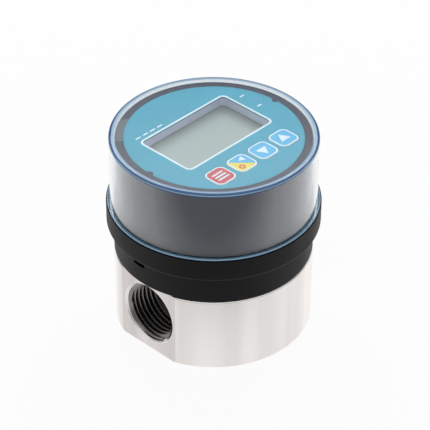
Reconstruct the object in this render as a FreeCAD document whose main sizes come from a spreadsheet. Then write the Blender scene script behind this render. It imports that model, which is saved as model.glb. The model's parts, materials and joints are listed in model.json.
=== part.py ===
import FreeCAD, Part
import math
import os
import re
import Sketcher

# Oval gear flow meter: a steel body with two threaded ports, a pair of oval gears that the flow turns,
# and a battery-powered display head with four keys under a clear lift-off cover.
# Millimetres. The origin is the centre of the foot, +X is the flow and the way the display reads, +Z is up.

SIZES = {
    # steel body and ports
    "base_step": 0.9,
    "body_height": 28.0,
    "body_chamfer": 0.35,
    "flat_cut": 2.4,
    "port_radius": 10.48,
    "port_rise": 0.7,
    "port_depth": 14.0,
    "port_chamfer": 0.85,
    "passage_radius": 4.0,
    "chamber_depth": 18.0,
    # oval gears, their shafts and what runs on them
    "gear_long": 11.4,
    "gear_short": 7.2,
    "gear_teeth": 30,
    "tooth_addendum": 0.6,
    "tooth_dedendum": 0.75,
    "pressure_angle": 20,
    "tip_clearance": 0.05,
    "chamber_clearance": 0.08,
    "gear_end_play": 0.1,
    "shaft_radius": 2.5,
    "shaft_seat": 4.0,
    "shaft_tip": 2.0,
    "shaft_clearance": 0.03,
    "bush_wall": 1.4,
    "washer_thick": 0.5,
    "washer_width": 2.0,
    "magnet_radius": 1.5,
    "magnet_height": 2.0,
    "magnet_orbit": 8.2,
    "seat_fit": 0.02,
    "hole_run_out": 0.5,
    # chamber plate, its seal and the screws through it
    "plate_margin": 2.9,
    "plate_thick": 4.5,
    "seal_margin": 1.595,
    "seal_section": 1.5,
    "seal_room": 0.05,
    "screw_margin": 3.4,
    "screw_radius": 1.5,
    "screw_grip": 9.0,
    "screw_head_radius": 2.5,
    "screw_head_height": 2.0,
    "screw_fit": 0.1,
    "head_sink": 0.2,
    # head base
    "skirt_fit": 0.3,
    "skirt_wall": 2.9,
    "base_floor": 2.5,
    "foot_round": 0.9,
    "band_height": 10.6,
    "rim_overhang": 3.28,
    "rim_wall": 1.25,
    "rim_height": 8.2,
    "rim_round": 1.2,
    "ledge_thick": 3.0,
    "spigot_wall": 1.2,
    "spigot_height": 2.0,
    "gasket_width": 1.4,
    "gasket_thick": 1.0,
    "pry_slot_width": 5.0,
    "pry_slot_height": 3.4,
    "pry_slot_depth": 1.6,
    "pry_slot_offset": 1.8,
    # clear cover
    "total_height": 72.6,
    "cover_wall": 1.0,
    "cover_foot_wall": 1.75,
    "cover_top": 1.0,
    "cover_gap": 0.4,
    "cover_headroom": 0.6,
    "cover_fit": 0.1,
    "cover_foot_gap": 1.0,
    "cover_round": 0.7,
    "lip_width": 0.95,
    "lip_thick": 0.65,
    "cover_seal_section": 1.2,
    # display shell and label
    "shell_wall": 1.6,
    "shell_fit": 0.1,
    "face_thick": 2.0,
    "bezel_width": 2.78,
    "bezel_round": 0.3,
    "label_thick": 0.5,
    "label_fit": 0.1,
    "lug_radius": 1.2,
    "window_width_share": 1.3,
    "window_height_share": 0.74,
    "window_rise_share": 0.1133,
    "window_corner": 1.5,
    "window_step": 0.3,
    "well_wall": 1.2,
    # display panel and main board
    "panel_margin": 2.3,
    "panel_thick": 2.2,
    "panel_gap": 1.5,
    "well_clearance": 0.3,
    "carrier_wall": 1.5,
    "carrier_ledge": 3.0,
    "carrier_lip": 1.6,
    "carrier_fit": 0.05,
    "post_length": 5.5,
    "post_radius": 2.5,
    "post_inset": 3.7,
    "board_thick": 1.6,
    "board_gap": 0.6,
    "chip_side": 10.0,
    "chip_thick": 1.4,
    "small_screw_radius": 1.0,
    "small_screw_grip": 3.0,
    "small_head_radius": 1.8,
    "small_head_height": 1.3,
    # keys and their switches
    "key_side_share": 0.2867,
    "key_gap_share": 0.0487,
    "key_offset_share": 0.5767,
    "key_corner": 2.5,
    "key_fit": 0.15,
    "key_proud": 0.1,
    "key_flange": 0.45,
    "key_flange_thick": 0.8,
    "flange_gap": 0.05,
    "key_travel": 0.3,
    "stem_radius": 1.6,
    "stem_fit": 0.2,
    "stem_entry": 0.8,
    "switch_side": 6.0,
    "switch_height": 3.4,
    "dome_height": 0.4,
    "dome_gap": 0.05,
    # sensor board, ribbon lead and battery
    "sensor_board_width": 26.0,
    "sensor_board_depth": 16.0,
    "head_clearance": 0.5,
    "pillar_radius": 2.5,
    "pillar_spacing": 21.0,
    "sensor_width": 4.0,
    "sensor_depth": 3.0,
    "sensor_thick": 1.6,
    "socket_width": 12.0,
    "socket_depth": 4.0,
    "socket_height": 3.0,
    "lead_width": 10.0,
    "lead_thick": 0.5,
    "socket_margin": 1.0,
    "battery_radius": 7.25,
    "battery_length": 25.2,
    "battery_fit": 0.05,
    "contact_thick": 0.5,
    "holder_wall": 1.5,
    "holder_height": 9.0,
    "holder_clearance": 1.1,
}

# Angles round the vertical axis, in degrees: screws clear of the two ports, posts clear of display and keys
PLATE_SCREW_ANGLES = (30, 150, 210, 330)
BASE_SCREW_ANGLES = (60, 120, 240, 300)
POST_ANGLES = (0, 52, 128, 180, 270)
KEY_NAMES = ("menu_key", "shift_key", "down_key", "up_key")

# Share of a screw head left under its hexagon socket, points along each tooth of the pitch curve, and the
# difference up to which two lengths are taken as the same
SOCKET_FLOOR_SHARE = 0.4
POINTS_PER_TOOTH = 40
SAME_LENGTH = 1e-4

# Sizes that follow from others, as formulas of the sheet. The gears set the chamber, and the radii are one
# chain outwards from it: seal, screws, plate, head base, body, rim, cover, shell and label.
DERIVED = {
    # radii
    "shaft_offset": "(gear_long + gear_short + 2 * tooth_addendum + tip_clearance) / 2",
    "chamber_radius": "gear_long + tooth_addendum + chamber_clearance",
    "bush_radius": "shaft_radius + shaft_clearance + bush_wall",
    "seal_radius": "shaft_offset + chamber_radius + seal_margin",
    "screw_orbit": "seal_radius + screw_margin",
    "plate_radius": "screw_orbit + plate_margin",
    "skirt_radius": "plate_radius + skirt_fit",
    "base_radius": "skirt_radius + skirt_wall",
    "gasket_radius": "(skirt_radius + base_radius - foot_round) / 2",
    "body_radius": "base_radius + base_step",
    "flat_distance": "body_radius - flat_cut",
    "rim_radius": "base_radius + rim_overhang",
    "cover_radius": "rim_radius - rim_wall - cover_fit",
    "cover_seal_radius": "cover_radius + cover_fit - seal_room - cover_seal_section / 2",
    "shell_radius": "cover_radius - cover_foot_wall - cover_gap",
    "shell_inside": "shell_radius - shell_wall",
    "spigot_radius": "shell_inside - shell_fit",
    "base_inside": "spigot_radius - spigot_wall",
    "label_radius": "shell_radius - bezel_width - label_fit",
    # layout of the face, in shares of the label's radius
    "window_width": "window_width_share * label_radius",
    "window_height": "window_height_share * label_radius",
    "window_rise": "window_rise_share * label_radius",
    "panel_width": "window_width + 2 * panel_margin",
    "panel_height": "window_height + 2 * panel_margin",
    "key_side": "key_side_share * label_radius",
    "key_pitch": "key_side + key_gap_share * label_radius",
    "key_offset": "key_offset_share * label_radius",
    "post_orbit": "shell_inside - post_inset",
    # heights and lengths
    "port_height": "body_height / 2 + port_rise",
    "chamber_floor": "body_height - chamber_depth",
    "gear_foot": "chamber_floor + washer_thick + gear_end_play",
    "gear_height": "chamber_depth - 2 * washer_thick - 2 * gear_end_play",
    "plate_top": "body_height + plate_thick",
    "head_recess": "screw_head_height + head_sink",
    "floor_top": "plate_top + base_floor",
    "rim_foot": "body_height + band_height",
    "rim_top": "rim_foot + rim_height",
    "ledge_top": "rim_foot + ledge_thick",
    "cover_foot": "ledge_top + cover_foot_gap",
    "cover_seal_height": "(rim_top + cover_foot) / 2",
    "label_top": "total_height - cover_top - cover_headroom",
    "face_top": "label_top - label_thick",
    "face_under": "face_top - face_thick",
    "board_top": "face_under - post_length",
    "board_under": "board_top - board_thick",
    "well_depth": "panel_gap - well_clearance",
    "panel_top": "face_under - panel_gap",
    "panel_foot": "panel_top - panel_thick",
    "switch_top": "board_top + switch_height",
    "flange_top": "face_under - flange_gap",
    "flange_foot": "flange_top - key_flange_thick",
    "stem_foot": "switch_top - stem_entry",
    "dome_foot": "stem_foot - key_travel - dome_gap - dome_height",
    "pillar_height": "screw_head_height + head_clearance",
    "sensor_board_foot": "floor_top + pillar_height",
    "sensor_board_top": "sensor_board_foot + board_thick",
    "holder_length": "battery_length + 2 * contact_thick + 2 * battery_fit + 2 * holder_wall",
    "holder_width": "2 * battery_radius + 2 * battery_fit + 2 * holder_wall",
    "battery_axis": "floor_top + holder_wall + battery_fit + battery_radius",
    # places on the base's floor
    "sensor_board_offset": "base_inside / 2",
    "lead_offset": "sensor_board_offset + sensor_board_depth / 2 - socket_depth / 2 - socket_margin",
    "screw_row": f"screw_orbit * sin({BASE_SCREW_ANGLES[0]})",
    "battery_offset": "screw_row - screw_head_radius - holder_clearance - holder_width / 2",
}

doc = FreeCAD.newDocument("oval_gear_flow_meter")
sheet = doc.addObject("Spreadsheet::Sheet", "sizes")
cells = [(alias, str(value)) for alias, value in SIZES.items()]
cells += [(alias, "=" + text) for alias, text in DERIVED.items()]
for row, (alias, content) in enumerate(cells, start=1):
    sheet.set(f"A{row}", alias)
    sheet.set(f"B{row}", content)
    sheet.setAlias(f"B{row}", alias)
doc.recompute()

subparts = []


def formula(text):
    """Points each size word of a formula at its cell in the sheet."""
    def cell(word):
        name = word.group()
        return "sizes." + name if name in SIZES or name in DERIVED else name
    return re.sub(r"[a-z_]+", cell, str(text))


def number(text):
    """Value of a formula with the sizes as they stand."""
    return float(sheet.evalExpression(formula(text)))


def bind(obj, **properties):
    """Binds properties of an object to formulas of the sizes."""
    for name, text in properties.items():
        obj.setExpression(name, formula(text))


def place(obj, x="0", y="0", z="0", turn=0, axis=(0, 0, 1)):
    """Turns an object about an axis and binds its place to formulas."""
    obj.Placement = FreeCAD.Placement(FreeCAD.Vector(), FreeCAD.Rotation(FreeCAD.Vector(*axis), turn))
    for name, text in (("x", x), ("y", y), ("z", z)):
        obj.setExpression(f"Placement.Base.{name}", formula(text))
    return obj


def keep(obj, label):
    """Names a finished sub-part, which its label and file then carry."""
    obj.Label = label
    subparts.append(obj)
    return obj


def polar(orbit, angle):
    """Formulas for the X and Y of a point on a circle round the vertical axis."""
    return f"{orbit} * cos({angle})", f"{orbit} * sin({angle})"


# Sketches


def new_body(label):
    """PartDesign body that is a sub-part of its own."""
    return keep(doc.addObject("PartDesign::Body", label), label)


def sketch_on(body, name, plane, lift="0", rise="0"):
    """Sketch on one of a body's own planes, lifted along its normal and raised within it."""
    sketch = body.newObject("Sketcher::SketchObject", name)
    support = next(item for item in body.Origin.OriginFeatures if item.Role == plane)
    sketch.AttachmentSupport = (support, [""])
    sketch.MapMode = "FlatFace"
    sketch.setExpression("AttachmentOffset.Base.y", formula(rise))
    sketch.setExpression("AttachmentOffset.Base.z", formula(lift))
    return sketch


def dimension(sketch, text, *constraint):
    """Adds a dimension to a sketch and binds it to a formula."""
    index = sketch.addConstraint(Sketcher.Constraint(*constraint, number(text)))
    sketch.setExpression(f"Constraints[{index}]", formula(text))


def pin(sketch, geometry, point, x, y):
    """Holds a point of a sketch at formulas from the sketch's origin."""
    dimension(sketch, x, "DistanceX", -1, 1, geometry, point)
    dimension(sketch, y, "DistanceY", -1, 1, geometry, point)


def polygon(sketch, corners):
    """Closed outline of straight edges, every corner held by formulas."""
    points = [FreeCAD.Vector(number(x), number(y), 0) for x, y in corners]
    edges = []
    for start, end in zip(points, points[1:] + points[:1]):
        edges.append(sketch.addGeometry(Part.LineSegment(start, end), False))
    for edge, following in zip(edges, edges[1:] + edges[:1]):
        sketch.addConstraint(Sketcher.Constraint("Coincident", edge, 2, following, 1))
    for edge, (x, y) in zip(edges, corners):
        pin(sketch, edge, 1, x, y)
    return sketch


def rectangle(sketch, x, y, width, height):
    """Rectangle about a centre."""
    left, right = f"{x} - {width} / 2", f"{x} + {width} / 2"
    low, high = f"{y} - {height} / 2", f"{y} + {height} / 2"
    return polygon(sketch, [(left, low), (right, low), (right, high), (left, high)])


def circle(sketch, x, y, radius):
    """Circle held by its centre and radius."""
    centre = FreeCAD.Vector(number(x), number(y), 0)
    index = sketch.addGeometry(Part.Circle(centre, FreeCAD.Vector(0, 0, 1), number(radius)), False)
    pin(sketch, index, 3, x, y)
    dimension(sketch, radius, "Radius", index)
    return sketch


def rounded_rectangle(sketch, x, y, width, height, corner):
    """Rectangle about a centre with four equal round corners."""
    reach_x = f"({width} / 2 - {corner})"
    reach_y = f"({height} / 2 - {corner})"
    signs = ((1, 1), (-1, 1), (-1, -1), (1, -1))
    centres = [(f"{x} + {a} * {reach_x}", f"{y} + {b} * {reach_y}") for a, b in signs]
    arcs = []
    for quarter, (cx, cy) in enumerate(centres):
        ring = Part.Circle(FreeCAD.Vector(number(cx), number(cy), 0), FreeCAD.Vector(0, 0, 1), number(corner))
        arc = Part.ArcOfCircle(ring, quarter * math.pi / 2, (quarter + 1) * math.pi / 2)
        arcs.append(sketch.addGeometry(arc, False))
    for quarter, arc in enumerate(arcs):
        following = arcs[(quarter + 1) % len(arcs)]
        start = sketch.getPoint(arc, 2)
        end = sketch.getPoint(following, 1)
        line = sketch.addGeometry(Part.LineSegment(start, end), False)
        sketch.addConstraint(Sketcher.Constraint("Tangent", arc, 2, line, 1))
        sketch.addConstraint(Sketcher.Constraint("Tangent", line, 2, following, 1))
    for arc, (cx, cy) in zip(arcs, centres):
        pin(sketch, arc, 3, cx, cy)
        dimension(sketch, corner, "Radius", arc)
    return sketch


# Features


def pad(body, sketch, length, down=False):
    """Adds a sketch's outline as a prism."""
    feature = body.newObject("PartDesign::Pad", sketch.Name + "_pad")
    feature.Profile = sketch
    feature.Reversed = down
    bind(feature, Length=length)
    doc.recompute()
    return feature


def cut(body, feature, sketch):
    """Finishes a cutting feature and tests that it took material away."""
    before = body.Shape.Volume
    feature.Profile = sketch
    doc.recompute()
    if body.Shape.Volume >= before:
        raise RuntimeError(f"{feature.Name} cuts nothing")
    return feature


def pocket(body, sketch, depth, up=False):
    """Cuts a sketch's outline, down from its plane unless told to cut up."""
    feature = body.newObject("PartDesign::Pocket", sketch.Name + "_pocket")
    feature.Reversed = up
    bind(feature, Length=depth)
    return cut(body, feature, sketch)


def revolve(body, profile):
    """Turns a profile of radius and height pairs about the vertical axis."""
    sketch = polygon(sketch_on(body, body.Name + "_profile", "XZ_Plane"), profile)
    feature = body.newObject("PartDesign::Revolution", body.Name + "_turned")
    feature.Profile = sketch
    feature.ReferenceAxis = (sketch, ["V_Axis"])
    feature.Angle = 360
    doc.recompute()
    return feature


def groove(body, name, profile):
    """Cuts a profile of radius and height pairs turned about the vertical axis."""
    sketch = polygon(sketch_on(body, name + "_profile", "XZ_Plane"), profile)
    feature = body.newObject("PartDesign::Groove", name)
    feature.Angle = 360
    feature.ReferenceAxis = (sketch, ["V_Axis"])
    return cut(body, feature, sketch)


def ring_edges(shape, radius, height):
    """Names of a shape's round edges at a radius and height."""
    names = []
    for index, edge in enumerate(shape.Edges, start=1):
        if isinstance(edge.Curve, Part.Circle):
            same_radius = math.isclose(edge.Curve.Radius, number(radius), abs_tol=SAME_LENGTH)
            same_height = math.isclose(edge.Curve.Center.z, number(height), abs_tol=SAME_LENGTH)
            if same_radius and same_height:
                names.append(f"Edge{index}")
    return names


def round_ring(body, name, size, radius, height):
    """Rounds a turned edge."""
    base = body.Tip
    feature = body.newObject("PartDesign::Fillet", name)
    feature.Base = (base, ring_edges(base.Shape, radius, height))
    bind(feature, Radius=size)
    doc.recompute()
    return feature


# Part primitives


def cylinder(name, radius, height):
    """Upright cylinder on its own origin."""
    solid = doc.addObject("Part::Cylinder", name)
    bind(solid, Radius=radius, Height=height)
    return solid


def box(name, width, depth, height):
    """Box with its foot centred on its own origin."""
    solid = doc.addObject("Part::Box", name)
    bind(solid, Length=width, Width=depth, Height=height)
    return place(solid, f"-{width} / 2", f"-{depth} / 2")


def boolean(kind, name, base, tool):
    """Cut or fuse of two solids."""
    solid = doc.addObject(kind, name)
    solid.Base = base
    solid.Tool = tool
    return solid


def ring(name, outer, inner, height):
    """Upright tube on its own origin."""
    blank = cylinder(name + "_outer", outer, height)
    return boolean("Part::Cut", name, blank, cylinder(name + "_bore", inner, height))


def group(label, members):
    """One sub-part made of separate like solids."""
    bundle = doc.addObject("Part::Compound", label)
    bundle.Links = members
    return keep(bundle, label)


def screw(name, radius, length, head_radius, head_height):
    """Cap screw with a hexagon socket, its head's seat on its own origin and its shank below."""
    head = cylinder(name + "_head", head_radius, head_height)
    shank = place(cylinder(name + "_shank", radius, length), z=f"-({length})")
    blank = boolean("Part::Fuse", name + "_blank", head, shank)
    socket = doc.addObject("Part::Prism", name + "_socket")
    socket.Polygon = 6
    bind(socket, Circumradius=f"{head_radius} / 2", Height=head_height)
    place(socket, z=f"{head_height} * {SOCKET_FLOOR_SHARE}")
    return boolean("Part::Cut", name, blank, socket)


# Steel body


def meter_body():
    """Round steel block with two flats, a threaded port in each, and the chamber the gears run in."""
    body = new_body("meter_body")
    revolve(body, [
        ("0", "0"),
        ("body_radius - body_chamfer", "0"),
        ("body_radius", "body_chamfer"),
        ("body_radius", "body_height - body_chamfer"),
        ("body_radius - body_chamfer", "body_height"),
        ("0", "body_height"),
    ])
    for side, name in ((-1, "inlet"), (1, "outlet")):
        flat = sketch_on(body, f"{name}_flat", "XY_Plane", lift="body_height")
        middle = f"{side} * (flat_distance + body_radius / 2)"
        pocket(body, rectangle(flat, middle, "0", "body_radius", "2 * body_radius"), "body_height")
    ports(body)
    for side, name in ((1, "rear"), (-1, "front")):
        chamber = sketch_on(body, f"{name}_chamber", "XY_Plane", lift="body_height")
        pocket(body, circle(chamber, "0", f"{side} * shaft_offset", "chamber_radius"), "chamber_depth")
        seat = sketch_on(body, f"{name}_shaft_seat", "XY_Plane", lift="chamber_floor")
        pocket(body, circle(seat, "0", f"{side} * shaft_offset", "shaft_radius + seat_fit"), "shaft_seat")
    holes = sketch_on(body, "body_screw_holes", "XY_Plane", lift="body_height")
    for angle in PLATE_SCREW_ANGLES + BASE_SCREW_ANGLES:
        circle(holes, *polar("screw_orbit", angle), "screw_radius + seat_fit")
    pocket(body, holes, "screw_grip + hole_run_out")


def ports(body):
    """Cuts both ports and the passages from them into the chamber, about one line along X."""
    sketch = sketch_on(body, "port_profile", "XZ_Plane", rise="port_height")
    beyond = "flat_distance + port_chamfer"
    half = [
        (beyond, "0"),
        (beyond, "port_radius + 2 * port_chamfer"),
        ("flat_distance - port_chamfer", "port_radius"),
        ("flat_distance - port_depth", "port_radius"),
        ("flat_distance - port_depth", "passage_radius"),
    ]
    mirrored = [(f"-({x})", z) for x, z in reversed(half)]
    polygon(sketch, half + mirrored)
    feature = body.newObject("PartDesign::Groove", "ports")
    feature.Angle = 360
    feature.ReferenceAxis = (sketch, ["H_Axis"])
    cut(body, feature, sketch)


# Oval gears


def oval(long_radius, short_radius, angle):
    """Point and outward normal of the pitch curve, a two-lobed oval that rolls on its twin."""
    flattening = (long_radius - short_radius) / (long_radius + short_radius)
    middle = 2 * long_radius * short_radius / (long_radius + short_radius)
    radius = middle / (1 - flattening * math.cos(2 * angle))
    slope = -2 * flattening * math.sin(2 * angle) * radius * radius / middle
    along = FreeCAD.Vector(math.cos(angle), math.sin(angle), 0)
    across = FreeCAD.Vector(-math.sin(angle), math.cos(angle), 0)
    tangent = along * slope + across * radius
    normal = FreeCAD.Vector(tangent.y, -tangent.x, 0)
    return along * radius, normal.normalize()


def oval_gear_face():
    """Outline of an oval gear with straight-flanked teeth at equal steps along its pitch curve."""
    long_radius, short_radius = sheet.gear_long, sheet.gear_short
    teeth = int(sheet.gear_teeth)
    samples = POINTS_PER_TOOTH * teeth
    angles = [2 * math.pi * index / samples for index in range(samples + 1)]
    points = [oval(long_radius, short_radius, angle)[0] for angle in angles]
    lengths = [0.0]
    for start, end in zip(points, points[1:]):
        lengths.append(lengths[-1] + start.distanceToPoint(end))

    def at_length(length):
        """Angle of the point that lies a length along the pitch curve."""
        length %= lengths[-1]
        index = max(i for i in range(samples) if lengths[i] <= length)
        share = (length - lengths[index]) / (lengths[index + 1] - lengths[index])
        return angles[index] + share * (angles[index + 1] - angles[index])

    pitch = lengths[-1] / teeth
    lean = math.tan(math.radians(sheet.pressure_angle))
    tip_half = pitch / 4 - lean * sheet.tooth_addendum
    root_half = pitch / 4 + lean * sheet.tooth_dedendum
    corners = []
    for tooth in range(teeth):
        for half, height in (
            (-root_half, -sheet.tooth_dedendum),
            (-tip_half, sheet.tooth_addendum),
            (tip_half, sheet.tooth_addendum),
            (root_half, -sheet.tooth_dedendum),
        ):
            point, normal = oval(long_radius, short_radius, at_length(tooth * pitch + half))
            corners.append(point + normal * height)
    return Part.Face(Part.makePolygon(corners + corners[:1]))


def gear_train(name, side, turn):
    """One oval gear with its bush and magnets, its fixed shaft and the washers above and below it."""
    y = f"{side} * shaft_offset"
    outline = doc.addObject("Part::Feature", f"{name}_outline")
    outline.Shape = oval_gear_face()
    blank = doc.addObject("Part::Extrusion", f"{name}_blank")
    blank.Base = outline
    blank.Dir = FreeCAD.Vector(0, 0, 1)
    blank.DirMode = "Custom"
    blank.Solid = True
    bind(blank, LengthFwd="gear_height")
    bored = boolean("Part::Cut", f"{name}_bored", blank,
                    cylinder(f"{name}_bore", "bush_radius + seat_fit", "gear_height"))
    magnets = []
    pockets = []
    for end in (-1, 1):
        spot = {"x": f"{end} * magnet_orbit", "z": "gear_height - magnet_height"}
        hole = cylinder(f"{name}_magnet_hole", "magnet_radius + seat_fit", "magnet_height")
        pockets.append(place(hole, **spot))
        magnets.append(place(cylinder(f"{name}_magnet", "magnet_radius", "magnet_height"), **spot))
    holes = doc.addObject("Part::Compound", f"{name}_magnet_holes")
    holes.Links = pockets
    gear = keep(boolean("Part::Cut", f"oval_gear_{name}", bored, holes), f"oval_gear_{name}")
    place(gear, y=y, z="gear_foot", turn=turn)
    place(group(f"gear_magnets_{name}", magnets), y=y, z="gear_foot", turn=turn)
    bush = keep(ring(f"gear_bush_{name}", "bush_radius", "shaft_radius + shaft_clearance", "gear_height"),
                f"gear_bush_{name}")
    place(bush, y=y, z="gear_foot")
    shaft = keep(cylinder(f"gear_shaft_{name}", "shaft_radius", "shaft_seat + chamber_depth + shaft_tip"),
                 f"gear_shaft_{name}")
    place(shaft, y=y, z="chamber_floor - shaft_seat")
    washers = []
    for z in ("chamber_floor", "body_height - washer_thick"):
        washer = ring(f"{name}_washer", "shaft_radius + washer_width", "shaft_radius + seat_fit",
                      "washer_thick")
        washers.append(place(washer, y=y, z=z))
    group(f"thrust_washers_{name}", washers)


# Chamber plate


def chamber_plate():
    """Steel lid of the chamber, with its seal groove and sunk screw heads, and its seal and screws."""
    body = new_body("chamber_plate")
    disc = circle(sketch_on(body, "plate_outline", "XY_Plane", lift="body_height"), "0", "0", "plate_radius")
    pad(body, disc, "plate_thick")
    groove_half = "(seal_section / 2 + seal_room)"
    groove(body, "seal_groove", [
        (f"seal_radius - {groove_half}", "body_height"),
        (f"seal_radius + {groove_half}", "body_height"),
        (f"seal_radius + {groove_half}", f"body_height + 2 * {groove_half}"),
        (f"seal_radius - {groove_half}", f"body_height + 2 * {groove_half}"),
    ])
    holes = sketch_on(body, "plate_screw_holes", "XY_Plane", lift="plate_top")
    for angle in PLATE_SCREW_ANGLES + BASE_SCREW_ANGLES:
        circle(holes, *polar("screw_orbit", angle), "screw_radius + screw_fit")
    pocket(body, holes, "plate_thick")
    heads = sketch_on(body, "plate_head_recesses", "XY_Plane", lift="plate_top")
    for angle in PLATE_SCREW_ANGLES:
        circle(heads, *polar("screw_orbit", angle), "screw_head_radius + screw_fit")
    pocket(body, heads, "head_recess")
    tips = sketch_on(body, "plate_shaft_seats", "XY_Plane", lift="body_height")
    for side in (-1, 1):
        circle(tips, "0", f"{side} * shaft_offset", "shaft_radius + seat_fit")
    pocket(body, tips, "shaft_tip + seat_fit", up=True)

    seal = keep(doc.addObject("Part::Torus", "chamber_seal"), "chamber_seal")
    bind(seal, Radius1="seal_radius", Radius2="seal_section / 2")
    place(seal, z=f"body_height + {groove_half}")
    screw_ring("plate_screws", PLATE_SCREW_ANGLES, "plate_top - head_recess")


def screw_ring(label, angles, seat):
    """Cap screws into the steel body, their heads on a seat at a stated height."""
    screws = []
    for angle in angles:
        x, y = polar("screw_orbit", angle)
        item = screw(label + "_one", "screw_radius", f"{seat} - body_height + screw_grip",
                     "screw_head_radius", "screw_head_height")
        screws.append(place(item, x, y, seat))
    group(label, screws)


# Display head


def head_base():
    """Black moulded base: skirt round the plate, floor, stepped band, and the rim that takes the cover."""
    body = new_body("head_base")
    revolve(body, [
        ("0", "plate_top"),
        ("skirt_radius", "plate_top"),
        ("skirt_radius", "body_height"),
        ("base_radius", "body_height"),
        ("base_radius", "rim_foot"),
        ("rim_radius", "rim_foot"),
        ("rim_radius", "rim_top"),
        ("cover_radius + cover_fit", "rim_top"),
        ("cover_radius + cover_fit", "ledge_top"),
        ("spigot_radius", "ledge_top"),
        ("spigot_radius", "ledge_top + spigot_height"),
        ("base_inside", "ledge_top + spigot_height"),
        ("base_inside", "floor_top"),
        ("0", "floor_top"),
    ])
    round_ring(body, "rim_rounding", "rim_round", "rim_radius", "rim_foot")
    round_ring(body, "foot_rounding", "foot_round", "base_radius", "body_height")
    gasket_half = "(gasket_width / 2 + seal_room)"
    groove(body, "gasket_groove", [
        (f"gasket_radius - {gasket_half}", "body_height"),
        (f"gasket_radius + {gasket_half}", "body_height"),
        (f"gasket_radius + {gasket_half}", "body_height + gasket_thick"),
        (f"gasket_radius - {gasket_half}", "body_height + gasket_thick"),
    ])
    holes = sketch_on(body, "base_screw_holes", "XY_Plane", lift="floor_top")
    for angle in BASE_SCREW_ANGLES:
        circle(holes, *polar("screw_orbit", angle), "screw_radius + screw_fit")
    pocket(body, holes, "base_floor")
    pillars = sketch_on(body, "pillars", "XY_Plane", lift="floor_top")
    pilots = sketch_on(body, "pillar_pilots", "XY_Plane", lift="sensor_board_foot")
    for side in (-1, 1):
        circle(pillars, f"{side} * pillar_spacing / 2", "sensor_board_offset", "pillar_radius")
        circle(pilots, f"{side} * pillar_spacing / 2", "sensor_board_offset", "small_screw_radius + seat_fit")
    pad(body, pillars, "pillar_height")
    pocket(body, pilots, "small_screw_grip + hole_run_out")
    slot = sketch_on(body, "pry_slot", "XY_Plane", lift="rim_foot")
    rectangle(slot, "-base_radius", "pry_slot_offset", "2 * pry_slot_depth", "pry_slot_width")
    pocket(body, slot, "pry_slot_height")

    gasket = ring("base_gasket", "gasket_radius + gasket_width / 2",
                  "gasket_radius - gasket_width / 2", "gasket_thick")
    place(keep(gasket, "base_gasket"), z="body_height")
    screw_ring("base_screws", BASE_SCREW_ANGLES, "floor_top")


def display_shell():
    """Grey inner shell: skirt, face with a collared display well and key holes, bezel with lugs, board posts."""
    body = new_body("display_shell")
    revolve(body, [
        ("shell_inside", "ledge_top"),
        ("shell_radius", "ledge_top"),
        ("shell_radius", "label_top"),
        ("label_radius + label_fit", "label_top"),
        ("label_radius + label_fit", "face_top"),
        ("0", "face_top"),
        ("0", "face_under"),
        ("shell_inside", "face_under"),
    ])
    lugs = sketch_on(body, "lugs", "XY_Plane", lift="face_top")
    for side in (-1, 1):
        circle(lugs, f"{side} * (label_radius + label_fit)", "0", "lug_radius")
    pad(body, lugs, "label_thick")
    collar = sketch_on(body, "display_well_collar", "XY_Plane", lift="face_under")
    pad(body, window_outline(collar, "(window_step + well_wall)"), "well_depth", down=True)
    well = sketch_on(body, "display_well", "XY_Plane", lift="face_top")
    pocket(body, window_outline(well, "window_step"), "face_thick + well_depth")
    holes = sketch_on(body, "key_holes", "XY_Plane", lift="face_top")
    pocket(body, key_outlines(holes, "key_fit"), "face_thick")
    posts = sketch_on(body, "board_posts", "XY_Plane", lift="face_under")
    pilots = sketch_on(body, "board_post_pilots", "XY_Plane", lift="board_top")
    for angle in POST_ANGLES:
        circle(posts, *polar("post_orbit", angle), "post_radius")
        circle(pilots, *polar("post_orbit", angle), "small_screw_radius + seat_fit")
    pad(body, posts, "post_length", down=True)
    pocket(body, pilots, "small_screw_grip + hole_run_out", up=True)
    round_ring(body, "bezel_rounding", "bezel_round", "shell_radius", "label_top")


def window_outline(sketch, margin):
    """The display window's rounded rectangle with a margin round it."""
    return rounded_rectangle(sketch, "0", "window_rise", f"(window_width + 2 * {margin})",
                             f"(window_height + 2 * {margin})", f"(window_corner + {margin})")


def key_outlines(sketch, margin):
    """Four rounded squares in a row, each a key's outline with a margin round it."""
    side = f"(key_side + 2 * {margin})"
    for index in range(len(KEY_NAMES)):
        rounded_rectangle(sketch, key_x(index), "-key_offset", side, side, f"(key_corner + {margin})")
    return sketch


def key_x(index):
    """X of a key, counted from the left of the row."""
    return f"({index - (len(KEY_NAMES) - 1) / 2} * key_pitch)"


def face_label():
    """Printed face plate with openings for the display and keys and a notch for each lug."""
    body = new_body("face_label")
    disc = sketch_on(body, "label_outline", "XY_Plane", lift="face_top")
    pad(body, circle(disc, "0", "0", "label_radius"), "label_thick")
    window = sketch_on(body, "label_window", "XY_Plane", lift="label_top")
    rounded_rectangle(window, "0", "window_rise", "window_width", "window_height", "window_corner")
    pocket(body, window, "label_thick")
    holes = sketch_on(body, "label_key_holes", "XY_Plane", lift="label_top")
    pocket(body, key_outlines(holes, "key_fit"), "label_thick")
    notches = sketch_on(body, "label_notches", "XY_Plane", lift="label_top")
    for side in (-1, 1):
        circle(notches, f"{side} * (label_radius + label_fit)", "0", "lug_radius + label_fit")
    pocket(body, notches, "label_thick")


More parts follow.
